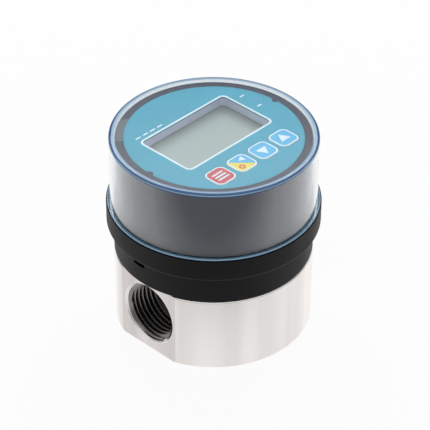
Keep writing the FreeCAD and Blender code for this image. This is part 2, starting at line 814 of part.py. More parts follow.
def keys():
    """Four keys that slide in the face, each with a flange that keeps it in and a stem down to its switch."""
    switches = []
    domes = []
    for index, name in enumerate(KEY_NAMES):
        x = key_x(index)
        body = new_body(name)
        flange = sketch_on(body, f"{name}_flange", "XY_Plane", lift="flange_foot")
        side = "(key_side + 2 * key_flange)"
        pad(body, rounded_rectangle(flange, "0", "0", side, side, "key_corner"), "key_flange_thick")
        cap = sketch_on(body, f"{name}_cap", "XY_Plane", lift="flange_top")
        pad(body, rounded_rectangle(cap, "0", "0", "key_side", "key_side", "key_corner"),
            "label_top + key_proud - flange_top")
        place(body, x, "-key_offset")
        stem = keep(cylinder(f"{name}_stem", "stem_radius", "flange_foot - stem_foot"), f"{name}_stem")
        place(stem, x, "-key_offset", "stem_foot")
        block = box(f"{name}_switch_block", "switch_side", "switch_side", "switch_height")
        bore = place(cylinder(f"{name}_switch_bore", "stem_radius + stem_fit", "switch_height"),
                     z="dome_foot - board_top")
        switch = boolean("Part::Cut", f"{name}_switch", block, bore)
        switches.append(place(switch, x, "-key_offset", "board_top"))
        dome = doc.addObject("Part::Cone", f"{name}_dome")
        bind(dome, Radius1="stem_radius", Radius2="stem_radius / 2", Height="dome_height")
        domes.append(place(dome, x, "-key_offset", "dome_foot"))
    group("key_switches", switches)
    group("switch_domes", domes)


def display_unit():
    """Display panel in its carrier on the main board, the board's chip and the screws that hold it."""
    panel = keep(box("display_panel_glass", "panel_width", "panel_height", "panel_thick"), "display_panel")
    place(panel, "-panel_width / 2", "window_rise - panel_height / 2", "panel_foot")

    carrier = new_body("panel_carrier")
    outer_width, outer_height = "(panel_width + 2 * carrier_wall)", "(panel_height + 2 * carrier_wall)"
    block = sketch_on(carrier, "carrier_outline", "XY_Plane", lift="board_top")
    pad(carrier, rectangle(block, "0", "window_rise", outer_width, outer_height),
        "panel_foot + carrier_lip - board_top")
    nest = sketch_on(carrier, "carrier_nest", "XY_Plane", lift="panel_foot + carrier_lip")
    pocket(carrier, rectangle(nest, "0", "window_rise", "(panel_width + 2 * carrier_fit)",
                              "(panel_height + 2 * carrier_fit)"), "carrier_lip")
    opening = sketch_on(carrier, "carrier_opening", "XY_Plane", lift="panel_foot")
    pocket(carrier, rectangle(opening, "0", "window_rise", "(panel_width - 2 * carrier_ledge)",
                              "(panel_height - 2 * carrier_ledge)"), "panel_foot - board_top")

    board = new_body("main_board")
    disc = sketch_on(board, "main_board_outline", "XY_Plane", lift="board_under")
    pad(board, circle(disc, "0", "0", "shell_inside - board_gap"), "board_thick")
    holes = sketch_on(board, "main_board_holes", "XY_Plane", lift="board_top")
    screws = []
    for angle in POST_ANGLES:
        x, y = polar("post_orbit", angle)
        circle(holes, x, y, "small_screw_radius + screw_fit")
        item = small_screw("board_screw")
        screws.append(place(item, x, y, "board_under", turn=180, axis=(1, 0, 0)))
    pocket(board, holes, "board_thick")
    group("board_screws", screws)

    chip = keep(box("controller_package", "chip_side", "chip_side", "chip_thick"), "controller_chip")
    place(chip, "-chip_side / 2", "-chip_side / 2", "board_under - chip_thick")


def small_screw(name):
    """Cap screw that holds a circuit board on its pillar or post."""
    return screw(name, "small_screw_radius", "board_thick + small_screw_grip",
                 "small_head_radius", "small_head_height")


def sensor_unit():
    """Sensor board over the rear gear, its sensor and screws, and the ribbon lead to the main board."""
    board = new_body("sensor_board")
    outline = sketch_on(board, "sensor_board_outline", "XY_Plane", lift="sensor_board_foot")
    pad(board, rectangle(outline, "0", "sensor_board_offset", "sensor_board_width", "sensor_board_depth"),
        "board_thick")
    holes = sketch_on(board, "sensor_board_holes", "XY_Plane", lift="sensor_board_top")
    screws = []
    for side in (-1, 1):
        x = f"{side} * pillar_spacing / 2"
        circle(holes, x, "sensor_board_offset", "small_screw_radius + screw_fit")
        screws.append(place(small_screw("sensor_screw"), x, "sensor_board_offset", "sensor_board_top"))
    pocket(board, holes, "board_thick")
    group("sensor_screws", screws)

    sensor = keep(box("sensor_package", "sensor_width", "sensor_depth", "sensor_thick"), "magnetic_sensor")
    place(sensor, "-sensor_width / 2", "shaft_offset - sensor_depth / 2",
          "sensor_board_foot - sensor_thick")

    sockets = []
    for z in ("sensor_board_top", "board_under - socket_height"):
        socket = box("lead_socket", "socket_width", "socket_depth", "socket_height")
        sockets.append(place(socket, "-socket_width / 2", "lead_offset - socket_depth / 2", z))
    group("lead_sockets", sockets)
    lead = keep(box("ribbon", "lead_width", "lead_thick",
                    "board_under - sensor_board_top - 2 * socket_height"), "ribbon_lead")
    place(lead, "-lead_width / 2", "lead_offset - lead_thick / 2", "sensor_board_top + socket_height")


def battery_unit():
    """Battery cell lying in an open holder on the base's floor, with a contact plate at each end."""
    holder = new_body("battery_holder")
    outline = sketch_on(holder, "holder_outline", "XY_Plane", lift="floor_top")
    pad(holder, rectangle(outline, "0", "-battery_offset", "holder_length", "holder_width"), "holder_height")
    trough = sketch_on(holder, "holder_trough", "XY_Plane", lift="floor_top + holder_height")
    pocket(holder, rectangle(trough, "0", "-battery_offset", "(holder_length - 2 * holder_wall)",
                             "(holder_width - 2 * holder_wall)"), "holder_height - holder_wall")

    cell = keep(cylinder("battery_can", "battery_radius", "battery_length"), "battery_cell")
    place(cell, "-battery_length / 2", "-battery_offset", "battery_axis", turn=90, axis=(0, 1, 0))

    contacts = []
    for side in (-1, 1):
        plate = box("battery_contact", "contact_thick", "2 * battery_radius", "holder_height - holder_wall")
        middle = f"{side} * (battery_length / 2 + battery_fit + contact_thick / 2)"
        contacts.append(place(plate, f"{middle} - contact_thick / 2", "-battery_offset - battery_radius",
                              "floor_top + holder_wall"))
    group("battery_contacts", contacts)


def clear_cover():
    """Clear moulded cap that pushes into the rim, with a lip that rests on it and a groove for its seal."""
    body = new_body("clear_cover")
    inside = "(cover_radius - cover_wall)"
    foot_inside = "(cover_radius - cover_foot_wall)"
    revolve(body, [
        ("0", "total_height"),
        ("cover_radius", "total_height"),
        ("cover_radius", "rim_top + lip_thick"),
        ("cover_radius + lip_width", "rim_top + lip_thick"),
        ("cover_radius + lip_width", "rim_top"),
        ("cover_radius", "rim_top"),
        ("cover_radius", "cover_foot"),
        (foot_inside, "cover_foot"),
        (foot_inside, "rim_top"),
        (inside, "rim_top + lip_thick"),
        (inside, "total_height - cover_top"),
        ("0", "total_height - cover_top"),
    ])
    round_ring(body, "cover_rounding", "cover_round", "cover_radius", "total_height")
    half = "(cover_seal_section / 2 + seal_room)"
    groove(body, "cover_seal_groove", [
        (f"cover_seal_radius - {half}", f"cover_seal_height - {half}"),
        ("cover_radius + cover_fit", f"cover_seal_height - {half}"),
        ("cover_radius + cover_fit", f"cover_seal_height + {half}"),
        (f"cover_seal_radius - {half}", f"cover_seal_height + {half}"),
    ])
    seal = keep(doc.addObject("Part::Torus", "cover_seal"), "cover_seal")
    bind(seal, Radius1="cover_seal_radius", Radius2="cover_seal_section / 2")
    place(seal, z="cover_seal_height")


def write_parts():
    """Checks every object of the document and writes each sub-part to its file."""
    doc.recompute()
    for obj in doc.Objects:
        if "Invalid" in obj.State or "Error" in obj.State:
            raise RuntimeError(f"{obj.Label} failed to build")
    for obj in subparts:
        if obj.Shape.isNull() or not obj.Shape.isValid():
            raise RuntimeError(f"{obj.Label} is not a valid shape")
    os.makedirs("parts", exist_ok=True)
    for obj in subparts:
        obj.Shape.exportStep(f"parts/{obj.Label}.step")


meter_body()
gear_train("rear", side=1, turn=90)
gear_train("front", side=-1, turn=0)
chamber_plate()
head_base()
display_shell()
face_label()
keys()
display_unit()
sensor_unit()
battery_unit()
clear_cover()
write_parts()
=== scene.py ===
"""Oval gear flow meter: the visual model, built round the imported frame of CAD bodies."""

import json
import logging
import math
from dataclasses import dataclass
from enum import Enum
from functools import cache
from typing import Callable, Sequence

import bmesh
import bpy
from mathutils import Matrix, Vector


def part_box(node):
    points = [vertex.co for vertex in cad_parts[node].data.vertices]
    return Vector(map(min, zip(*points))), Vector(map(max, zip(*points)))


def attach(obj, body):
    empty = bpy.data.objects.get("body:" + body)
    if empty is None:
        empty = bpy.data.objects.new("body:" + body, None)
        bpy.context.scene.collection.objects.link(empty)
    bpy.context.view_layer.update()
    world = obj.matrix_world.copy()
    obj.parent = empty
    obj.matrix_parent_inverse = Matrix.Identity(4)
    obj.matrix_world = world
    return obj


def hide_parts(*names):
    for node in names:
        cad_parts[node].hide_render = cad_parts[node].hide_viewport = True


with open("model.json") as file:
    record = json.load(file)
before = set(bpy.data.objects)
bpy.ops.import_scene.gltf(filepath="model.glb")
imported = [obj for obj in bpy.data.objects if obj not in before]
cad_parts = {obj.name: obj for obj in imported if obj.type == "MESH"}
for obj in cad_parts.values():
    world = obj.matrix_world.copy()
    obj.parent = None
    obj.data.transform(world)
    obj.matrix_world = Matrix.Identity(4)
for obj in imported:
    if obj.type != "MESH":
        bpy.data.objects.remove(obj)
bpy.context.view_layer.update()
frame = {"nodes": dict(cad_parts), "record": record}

MM = 0.001

# Two points closer than this are one, in metres
SAME_POINT = 2e-6

# A spot closer than this to a place is at that place, in millimetres
NEAR = 0.05

# A face looks along an axis where its normal has at least this part along it
FACING = 0.99

# Edges that turn by more than this many degrees are corners, and the rest are smooth curves
CORNER_DEGREES = 32.0

# Faces that turn by less than this many degrees are one flat face
FLAT_DEGREES = 0.05

# Settings of each rounding: a round section, whose faces keep the finish of their neighbours
ROUND = {"offset_type": "OFFSET", "profile": 0.5, "material": -1, "clamp_overlap": True}

logger = logging.getLogger("flow_meter")

Place = tuple[float, float]
Point = tuple[float, float, float]
Colour = tuple[float, float, float, float]
Shape = bmesh.types.BMesh
Tree = bpy.types.NodeTree
Socket = bpy.types.NodeSocket


# Colours and nodes


def linear(code: str) -> Colour:
    """Turns an sRGB hex colour into linear light.

    Args:
        code: Colour as "#rrggbb".

    Returns:
        Red, green, blue and a full alpha.
    """
    channels = [int(code[place:place + 2], 16) / 255 for place in (1, 3, 5)]
    light = [c / 12.92 if c <= 0.04045 else ((c + 0.055) / 1.055) ** 2.4 for c in channels]
    return (*light, 1.0)


def add_node(tree: Tree, kind: str, inputs: dict | None = None, output: int | str = 0,
             **settings) -> Socket | None:
    """Adds a node with its settings, input values and links.

    Args:
        tree: Node tree that takes the node.
        kind: Node type.
        inputs: Value or source socket for each input, by name or place.
        output: Name or place of the output that is wanted.
        **settings: Properties of the node.

    Returns:
        The wanted output, or None for a node that has no outputs.
    """
    node = tree.nodes.new(kind)
    for name, value in settings.items():
        setattr(node, name, value)
    for socket, value in (inputs or {}).items():
        if isinstance(value, Socket):
            tree.links.new(value, node.inputs[socket])
        else:
            node.inputs[socket].default_value = value
    return node.outputs[output] if node.outputs else None


@dataclass(frozen=True)
class Pattern:
    """A cloudy pattern on Object coordinates.

    Attributes:
        size_mm: Size of one patch, in millimetres.
        stretch: How many times shorter than that a patch is along each axis.
        detail: Finer layers in the pattern.
    """

    size_mm: float
    stretch: Point = (1.0, 1.0, 1.0)
    detail: float = 2.0

    def spread(self, tree: Tree, low: float, high: float) -> Socket:
        """Adds the pattern as a value that changes from place to place.

        Args:
            tree: Node tree of the material.
            low: Value in the pattern's low patches.
            high: Value in its high patches.

        Returns:
            Socket with the value.
        """
        place = add_node(tree, "ShaderNodeTexCoord", output="Object")
        scaled = add_node(tree, "ShaderNodeMapping", {"Vector": place, "Scale": self.stretch})
        noise = add_node(tree, "ShaderNodeTexNoise", {
            "Vector": scaled, "Scale": 1 / (self.size_mm * MM), "Detail": self.detail,
        })
        # Most of the noise lies between these two values
        return add_node(tree, "ShaderNodeMapRange", {
            "Value": noise, "From Min": 0.3, "From Max": 0.7, "To Min": low, "To Max": high,
        })


# Soft bands upright on a turned piece: in tone they paint the bands of reflection that the studio draws in
# bright steel, and in gloss they vary its roughness
PAINTED_REFLECTION_AND_GLOSS_BANDS = Pattern(12.0, stretch=(1.0, 1.0, 0.03))
# Lathe lines round the axis, drawn five times wider than the real feed so that they show
LATHE_LINES = Pattern(0.25, stretch=(0.02, 0.02, 1.0))
# Small scuffs of handling and cutting
SCUFFS = Pattern(0.8, detail=4.0)
# Fine grain of a smooth mould
FINE_GRAIN = Pattern(0.25)


@dataclass(frozen=True)
class Finish:
    """A named surface finish, whose material is made once.

    Attributes:
        name: Name of the material.
    """

    name: str

    def material(self) -> bpy.types.Material:
        """Finds the finish's material, or makes it at the first call.

        Returns:
            The material.
        """
        found = bpy.data.materials.get(self.name)
        if found is None:
            found = bpy.data.materials.new(self.name)
            found.use_nodes = True
            tree = found.node_tree
            tree.nodes.clear()
            add_node(tree, "ShaderNodeOutputMaterial", self.shade(tree))
        return found

    def shade(self, tree: Tree) -> dict[str, Socket]:
        """Adds the finish's nodes, and returns what goes to each socket of the output."""
        raise NotImplementedError


@dataclass(frozen=True)
class Solid(Finish):
    """An opaque surface: broad patches vary its tone and gloss, and a fine grain gives it relief.

    Attributes:
        tone: Colour.
        roughness: Mean roughness.
        tone_spread: Share by which the tone gets darker and lighter.
        gloss_spread: How far the roughness goes up and down.
        patch: Pattern of the tone and gloss.
        grain: Pattern of the relief.
        grain_mm: Depth of the relief.
    """

    tone: str
    roughness: float
    tone_spread: float = 0.08
    gloss_spread: float = 0.05
    patch: Pattern = Pattern(12.0)
    grain: Pattern = Pattern(0.4)
    grain_mm: float = 0.01

    def shade(self, tree: Tree) -> dict[str, Socket]:
        """Adds the surface's nodes.

        Args:
            tree: Node tree of the material.

        Returns:
            What goes to each socket of the output.
        """
        middle = linear(self.tone)
        dark, light = ((*(min(1.0, part * share) for part in middle[:3]), 1.0)
                       for share in (1 - self.tone_spread, 1 + self.tone_spread))
        # Sockets 6 and 7 of a Mix node are its two colours, and output 2 is the mixed one
        tone = add_node(tree, "ShaderNodeMix", {
            "Factor": self.patch.spread(tree, 0.0, 1.0), 6: dark, 7: light,
        }, output=2, data_type="RGBA")
        relief = add_node(tree, "ShaderNodeBump", {
            "Height": self.grain.spread(tree, 0.0, 1.0), "Strength": 0.5, "Distance": self.grain_mm * MM,
        })
        glossy, matt = self.roughness - self.gloss_spread, self.roughness + self.gloss_spread
        gloss = self.patch.spread(tree, glossy, matt)
        shader = add_node(tree, "ShaderNodeBsdfPrincipled", {
            "Base Color": tone, "Roughness": gloss, "Normal": relief, **self.nature(tree),
        })
        return {"Surface": shader}

    def nature(self, tree: Tree) -> dict[str, float | Socket]:
        """Returns the shader's inputs that make this a plastic or a metal."""
        raise NotImplementedError


@dataclass(frozen=True)
class Plastic(Solid):
    """Plastic, film, ink or rubber.

    Attributes:
        ior: Index of refraction.
        sheen_level: Strength of its mirror-like part, 0.5 for a bare smooth surface.
    """

    ior: float = 1.5
    sheen_level: float = 0.5

    def nature(self, tree: Tree) -> dict[str, float | Socket]:
        """Returns a plastic's refraction and mirror strength."""
        return {"IOR": self.ior, "Specular IOR Level": self.sheen_level}


@dataclass(frozen=True)
class Film(Plastic):
    """Printed film or ink: an even colour with a fine matt tooth."""

    roughness: float = 0.5
    tone_spread: float = 0.04
    grain: Pattern = FINE_GRAIN
    grain_mm: float = 0.003
    sheen_level: float = 0.2


@dataclass(frozen=True)
class Metal(Solid):
    """Bare or plated metal, lightly scuffed.

    Attributes:
        drawn_out: How far lines round the upright axis draw its reflections out, up and down.
    """

    gloss_spread: float = 0.08
    patch: Pattern = SCUFFS
    grain: Pattern = SCUFFS
    grain_mm: float = 0.004
    drawn_out: float = 0.0

    def nature(self, tree: Tree) -> dict[str, float | Socket]:
        """Adds the direction of the metal's lathe lines, where it has them.

        Args:
            tree: Node tree of the material.

        Returns:
            The shader's inputs that make this a metal.
        """
        if not self.drawn_out:
            return {"Metallic": 1.0}
        around = add_node(tree, "ShaderNodeTangent", direction_type="RADIAL", axis="Z")
        quarter_turn = 0.25
        return {
            "Metallic": 1.0,
            "Anisotropic": self.drawn_out,
            "Anisotropic Rotation": quarter_turn,
            "Tangent": around,
        }


@dataclass(frozen=True)
class Clear(Finish):
    """Clear plastic, which lets lamps straight through to what it covers.

    Attributes:
        tint: Colour that its surface gives to what is behind it.
        roughness: Largest roughness of its wiped surface.
        ior: Index of refraction.
        see_through: Share of the light that isn't scattered at its surface.
        coat: Strength of a hard coat over it.
    """

    tint: str
    roughness: float
    ior: float = 1.585
    see_through: float = 1.0
    coat: float = 0.0

    def shade(self, tree: Tree) -> dict[str, Socket]:
        """Adds the plastic's nodes.

        Args:
            tree: Node tree of the material.

        Returns:
            What goes to each socket of the output.
        """
        wipes = Pattern(6.0, stretch=(1.0, 1.0, 0.3))
        glass = add_node(tree, "ShaderNodeBsdfPrincipled", {
            "Base Color": linear(self.tint),
            "Roughness": wipes.spread(tree, 0.0, self.roughness),
            "IOR": self.ior,
            "Transmission Weight": self.see_through,
            **self.skin(tree),
        })
        clear = add_node(tree, "ShaderNodeBsdfTransparent", {"Color": linear(self.tint)})
        shadow = add_node(tree, "ShaderNodeLightPath", output="Is Shadow Ray")
        return {"Surface": add_node(tree, "ShaderNodeMixShader", {0: shadow, 1: glass, 2: clear})}

    def skin(self, tree: Tree) -> dict[str, Socket]:
        """Adds the test that puts a hard coat on the outside only, where the plastic has one.

        Args:
            tree: Node tree of the material.

        Returns:
            The shader's input for the coat.
        """
        if not self.coat:
            return {}
        inside = add_node(tree, "ShaderNodeNewGeometry", output="Backfacing")
        weight = add_node(tree, "ShaderNodeMapRange", {"Value": inside, "To Min": self.coat, "To Max": 0.0})
        return {"Coat Weight": weight}


@dataclass(frozen=True)
class Board(Finish):
    """Circuit board: tracks of copper under the coloured mask.

    Attributes:
        tone: Colour of the mask over bare board.
        track_tone: Colour of the mask over copper.
        track_mm: Spacing of the tracks, in millimetres.
    """

    tone: str
    track_tone: str
    track_mm: float = 2.4

    def shade(self, tree: Tree) -> dict[str, Socket]:
        """Adds the board's nodes.

        Args:
            tree: Node tree of the material.

        Returns:
            What goes to each socket of the output.
        """
        tracks = add_node(tree, "ShaderNodeTexBrick", {
            "Vector": add_node(tree, "ShaderNodeTexCoord", output="Object"),
            "Color1": linear(self.tone),
            "Color2": linear(self.tone),
            "Mortar": linear(self.track_tone),
            "Scale": 1 / (self.track_mm * MM),
            "Mortar Size": 0.06,
        })
        gloss = Pattern(1.2).spread(tree, 0.28, 0.40)
        shader = add_node(tree, "ShaderNodeBsdfPrincipled", {"Base Color": tracks, "Roughness": gloss})
        return {"Surface": shader}


# Finishes

# Turned stainless steel: pale, with reflections drawn out into soft upright bands, and upright bands of
# painted reflection in its tone
STEEL = Metal("stainless_steel_turned", "#efebe8", 0.30, tone_spread=0.16, gloss_spread=0.06, patch=PAINTED_REFLECTION_AND_GLOSS_BANDS,
              grain=LATHE_LINES, grain_mm=0.003, drawn_out=0.8)
# Milled flats of the same steel: a darker copy, whose tone paints the shade that the flats show, with the
# same upright bands of painted reflection
SHADED_MILLED_STEEL = Metal("stainless_steel_milled_painted_shade", "#d8d3d0", 0.26, tone_spread=0.16, gloss_spread=0.06,
                     patch=PAINTED_REFLECTION_AND_GLOSS_BANDS, grain_mm=0.002)
# Tapped bore of the same steel: a darker copy, whose tone paints the shade between its ridges deep in the
# bore
SHADED_BORE_STEEL = Metal("stainless_steel_tapped_painted_shade", "#827f7d", 0.26, tone_spread=0.15, gloss_spread=0.06,
                   grain_mm=0.006)
# Hobbed gear steel: even satin grey with fine scuffs
GEAR_STEEL = Metal("stainless_steel_hobbed", "#b9b7b4", 0.34)
# Zinc plate on screws: bluish and fairly bright
ZINC = Metal("zinc_plated_steel", "#c3c4c6", 0.28)
# Nickel plate on magnets: warm and nearly a mirror
NICKEL = Metal("nickel_plated_magnet", "#cfc9bf", 0.18, tone_spread=0.05, gloss_spread=0.06, grain_mm=0.002)
# Rolled brass strip: pale yellow and satin
BRASS = Metal("rolled_brass_strip", "#d8c9a0", 0.30, grain_mm=0.003)
# Black ABS with a fine spark-eroded grain: deep, with only a faint dull gleam
BLACK_ABS = Plastic("black_abs_spark_grain", "#0c0c0c", 0.50, sheen_level=0.16)
# Blue-grey ABS, satin, on the shell's sides: the bezel's plastic made nearly black, which paints the shade
# under the cover
SHADED_GREY_ABS = Plastic("grey_abs_satin_painted_shade", "#0e1838", 0.20, grain=FINE_GRAIN, grain_mm=0.002, sheen_level=0.35)
# The same plastic on the bezel, which faces the light: a lighter, even grey, the lit copy beside the sides'
# painted shade
BEZEL_ABS = Plastic("grey_abs_bezel", "#5f6468", 0.50, tone_spread=0.04, grain=FINE_GRAIN,
                    sheen_level=0.2)
# Wall of the display's well: a paler mauve grey, far lighter than the shell's plastic, which paints light
# into the wall's shade
WELL_PAINTED_LIGHT = Plastic("mauve_grey_satin_painted_light", "#e4e6ff", 0.40, grain=FINE_GRAIN, grain_mm=0.004)
# White nylon: slightly warm and waxy
NYLON = Plastic("white_nylon_moulded", "#dcdad2", 0.48, ior=1.53)
# Carbon-filled bearing plastic: near black with a dull sheen
CARBON_PLASTIC = Plastic("carbon_filled_plastic_machined", "#2c2d30", 0.45, grain=FINE_GRAIN)
# Nitrile rubber: black and almost without gloss
RUBBER = Plastic("nitrile_rubber_moulded", "#161616", 0.70, sheen_level=0.3)
# Epoxy chip package: black with a fine matt face
EPOXY = Plastic("black_epoxy_package", "#1b1b1d", 0.50, grain=FINE_GRAIN)
# Shrunk sleeve of the battery: green and glossy with faint ripples
SLEEVE = Plastic("green_pvc_shrink_sleeve", "#2f6b4a", 0.30, grain=Pattern(1.5))
# Clear polycarbonate cap: faintly blue, and it mirrors more towards its sides
CLEAR_CAP = Clear("clear_polycarbonate_moulded", "#f4f9fc", 0.03)
# Hard-coated outer wall of the cap: its second skin mirrors the floor brighter still at the sides
COATED_WALL = Clear("clear_polycarbonate_hard_coated", "#f4f9fc", 0.03, coat=1.0)
# Ring round the cap's top, a line along its top edge and a line on its lip: a pale blue that paints the
# highlights of the light that shines in its edges
PAINTED_HIGHLIGHT_EDGE = Clear("clear_polycarbonate_painted_highlight", "#a6c9e6", 0.20, see_through=0.3)
# Rounded edges of the cap: a deep blue, partly the tint that its faces hide and partly painted shade for
# the dark look of its edges
TINTED_AND_SHADED_EDGE = Clear("clear_polycarbonate_rounded_edge", "#27598e", 0.08, see_through=0.2)
# Flat of the cap's lip: a thin layer over the black rim, a dim greenish blue
TEAL_EDGE = Clear("clear_polycarbonate_lip_flat", "#5f8fa8", 0.15, see_through=0.3)
# Screen-printed polyester label: even teal with a fine matt tooth
TEAL_FILM = Film("teal_polyester_print", "#30a5bd", 0.55)
# White screen ink: flat and bright
WHITE_INK = Film("white_screen_ink", "#eef6f8")
# Embossed key films: flat inks under a satin skin
RED_FILM = Film("red_embossed_film", "#d8333f")
YELLOW_FILM = Film("yellow_embossed_film", "#fbe04a")
BLUE_FILM = Film("blue_embossed_film", "#4fbbe8")
# Red screen ink on the yellow half of a key
RED_INK = Film("red_screen_ink", "#d8452f")
# Unlit liquid crystal: grey-green reflector behind a faintly grained polariser
LIQUID_CRYSTAL = Plastic("liquid_crystal_unlit", "#adb5ae", 0.25, tone_spread=0.03, gloss_spread=0.04,
                         patch=Pattern(0.5), grain=FINE_GRAIN, grain_mm=0.001)
# Glass-fibre board: green mask with lighter tracks
GREEN_BOARD = Board("glass_fibre_board_masked", "#1d5a34", "#37824f")


# Shapes


def turned(profile: Sequence[Place], steps: int = 320) -> Shape:
    """Spins an open profile about the vertical axis into a closed shape.

    Args:
        profile: Radius and height pairs in millimetres, both ends on the axis.
        steps: Facets of a full turn.

    Returns:
        The shape.
    """
    shape = bmesh.new()
    points = [shape.verts.new((radius * MM, 0.0, height * MM)) for radius, height in profile]
    edges = [shape.edges.new(pair) for pair in zip(points, points[1:])]
    bmesh.ops.spin(shape, geom=points + edges, cent=(0, 0, 0), axis=(0, 0, 1), dvec=(0, 0, 0),
                   angle=2 * math.pi, steps=steps, use_merge=True)
    bmesh.ops.remove_doubles(shape, verts=shape.verts[:], dist=SAME_POINT)
    bmesh.ops.recalc_face_normals(shape, faces=shape.faces[:])
    return shape


def copied(node: str) -> Shape:
    """Copies a CAD node's mesh with its loose triangles merged into whole faces.

    Args:
        node: Name of the node.

    Returns:
        The shape.
    """
    shape = bmesh.new()
    shape.from_mesh(frame["nodes"][node].data)
    bmesh.ops.remove_doubles(shape, verts=shape.verts[:], dist=SAME_POINT)
    bmesh.ops.dissolve_limit(shape, angle_limit=math.radians(FLAT_DEGREES), verts=shape.verts[:],
                             edges=shape.edges[:])
    return shape


def is_corner(edge: bmesh.types.BMEdge) -> bool:
    """True where two faces meet at a corner and not along a smooth curve."""
    return edge.is_manifold and edge.calc_face_angle() > math.radians(CORNER_DEGREES)


def middle_of(edge: bmesh.types.BMEdge) -> Vector:
    """Returns the middle of an edge, in millimetres."""
    return (edge.verts[0].co + edge.verts[1].co) / (2 * MM)


def round_corners(shape: Shape, radius_mm: float, chosen: Callable[[Vector], bool],
                  segments: int = 3) -> None:
    """Rounds the corner edges that a test picks by their middle.

    Args:
        shape: The shape to change.
        radius_mm: Width of the rounding.
        chosen: Test of an edge's middle, in millimetres.
        segments: Facets across the rounding.
    """
    edges = [edge for edge in shape.edges if is_corner(edge) and chosen(middle_of(edge))]
    bmesh.ops.bevel(shape, geom=edges, offset=radius_mm * MM, affect="EDGES", segments=segments, **ROUND)


def rounded_sheet(width: float, height: float, corner: float) -> Shape:
    """Makes a flat rectangle with round corners about the origin.

    Args:
        width: Size along X in millimetres.
        height: Size along Y in millimetres.
        corner: Radius of its corners in millimetres.

    Returns:
        The shape, one face.
    """
    shape = bmesh.new()
    bmesh.ops.create_grid(shape, x_segments=1, y_segments=1, size=0.5)
    bmesh.ops.scale(shape, vec=(width * MM, height * MM, 1.0), verts=shape.verts[:])
    bmesh.ops.bevel(shape, geom=shape.verts[:], offset=corner * MM, affect="VERTICES", segments=8, **ROUND)
    return shape


def outline_of(shape: Shape, line: float) -> Shape:
    """Leaves a line along the inside of a flat shape's edge.

    Args:
        shape: A flat shape of one face.
        line: Width of the line in millimetres.

    Returns:
        The same shape, now a ring.
    """
    inner = shape.faces[:]
    bmesh.ops.inset_region(shape, faces=inner, thickness=line * MM, use_boundary=True,
                           use_even_offset=True)
    bmesh.ops.delete(shape, geom=inner, context="FACES")
    return shape


def triangle(side: float, turn: float) -> Shape:
    """Makes a flat triangle with slightly round corners about the origin.

    Args:
        side: Length of a side in millimetres.
        turn: Way it points, in degrees from +Y, anticlockwise.

    Returns:
        The shape, one face.
    """
    shape = bmesh.new()
    bmesh.ops.create_circle(shape, cap_ends=True, segments=3, radius=side / math.sqrt(3) * MM)
    tip = max(shape.verts, key=lambda vert: vert.co.y).co
    wanted = math.atan2(tip.x, tip.y) + math.radians(turn)
    bmesh.ops.rotate(shape, verts=shape.verts[:], matrix=Matrix.Rotation(wanted, 3, "Z"))
    corner = side * 0.08
    bmesh.ops.bevel(shape, geom=shape.verts[:], offset=corner * MM, affect="VERTICES", segments=3, **ROUND)
    return shape


def raised(shape: Shape, thickness: float, place: Point) -> Shape:
    """Gives a flat shape a thickness upwards and sets it in place.

    Args:
        shape: A flat shape at the origin.
        thickness: Thickness in millimetres.
        place: Where its underside's origin goes, in millimetres.

    Returns:
        The same shape, now closed.
    """
    bmesh.ops.recalc_face_normals(shape, faces=shape.faces[:])
    for face in shape.faces:
        if face.normal.z < 0:
            face.normal_flip()
    foot = shape.faces[:]
    top = bmesh.ops.extrude_face_region(shape, geom=foot, use_keep_orig=True)
    lifted = [item for item in top["geom"] if isinstance(item, bmesh.types.BMVert)]
    bmesh.ops.translate(shape, vec=(0, 0, thickness * MM), verts=lifted)
    bmesh.ops.translate(shape, vec=Vector(place) * MM, verts=shape.verts[:])
    bmesh.ops.recalc_face_normals(shape, faces=shape.faces[:])
    return shape


def mesh_from(shape: Shape, name: str) -> bpy.types.Mesh:
    """Makes a mesh from a shape.

    Args:
        shape: The shape, which is used up.
        name: Name of the mesh.

    Returns:
        The mesh.
    """
    mesh = bpy.data.meshes.new(name)
    shape.to_mesh(mesh)
    shape.free()
    return mesh


def placed(name: str, data: bpy.types.ID) -> bpy.types.Object:
    """Puts a mesh, a lamp or a camera into the scene.

    Args:
        name: Name of the object.
        data: What it shows.

    Returns:
        The object.
    """
    item = bpy.data.objects.new(name, data)
    bpy.context.scene.collection.objects.link(item)
    return item


def joined(shapes: Sequence[Shape]) -> Shape:
    """Puts several shapes into one.

    Args:
        shapes: The shapes, which are used up.

    Returns:
        The joined shape.
    """
    whole = bmesh.new()
    for shape in shapes:
        mesh = mesh_from(shape, "joining")
        whole.from_mesh(mesh)
        bpy.data.meshes.remove(mesh)
    return whole


def dress(shape: Shape, finishes: Sequence[Finish], finish_at: Callable[[Vector, Vector], Finish]) -> None:
    """Gives each face of a shape its own finish.

    Args:
        shape: The shape.
        finishes: Its finishes, in the order of its faces' material numbers.
        finish_at: Picks a finish by a face's middle, in millimetres, and by its normal.
    """
    for face in shape.faces:
        spot = face.calc_center_median() / MM
        face.material_index = finishes.index(finish_at(spot, face.normal))


def finished(shape: Shape, name: str, body: str, finishes: Sequence[Finish],
             stands_for: Sequence[str] = ()) -> None:
    """Makes a piece of the model from a shape.

    Args:
        shape: The shape, which is used up.
        name: Name of the piece.
        body: CAD body that it rides on.
        finishes: Its finishes, in the order of its faces' material numbers.
        stands_for: CAD nodes that it replaces.
    """
    shape.normal_update()
    for face in shape.faces:
        face.smooth = True
    for edge in shape.edges:
        edge.smooth = not is_corner(edge)
    mesh = mesh_from(shape, name)
    for finish in finishes:
        mesh.materials.append(finish.material())
    piece = placed(name, mesh)
    even = piece.modifiers.new("even shading", "WEIGHTED_NORMAL")
    even.keep_sharp = True
    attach(piece, body)
    if stands_for:
        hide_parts(*stands_for)
    logger.info("%s: %d faces on body %s", name, len(mesh.polygons), body)


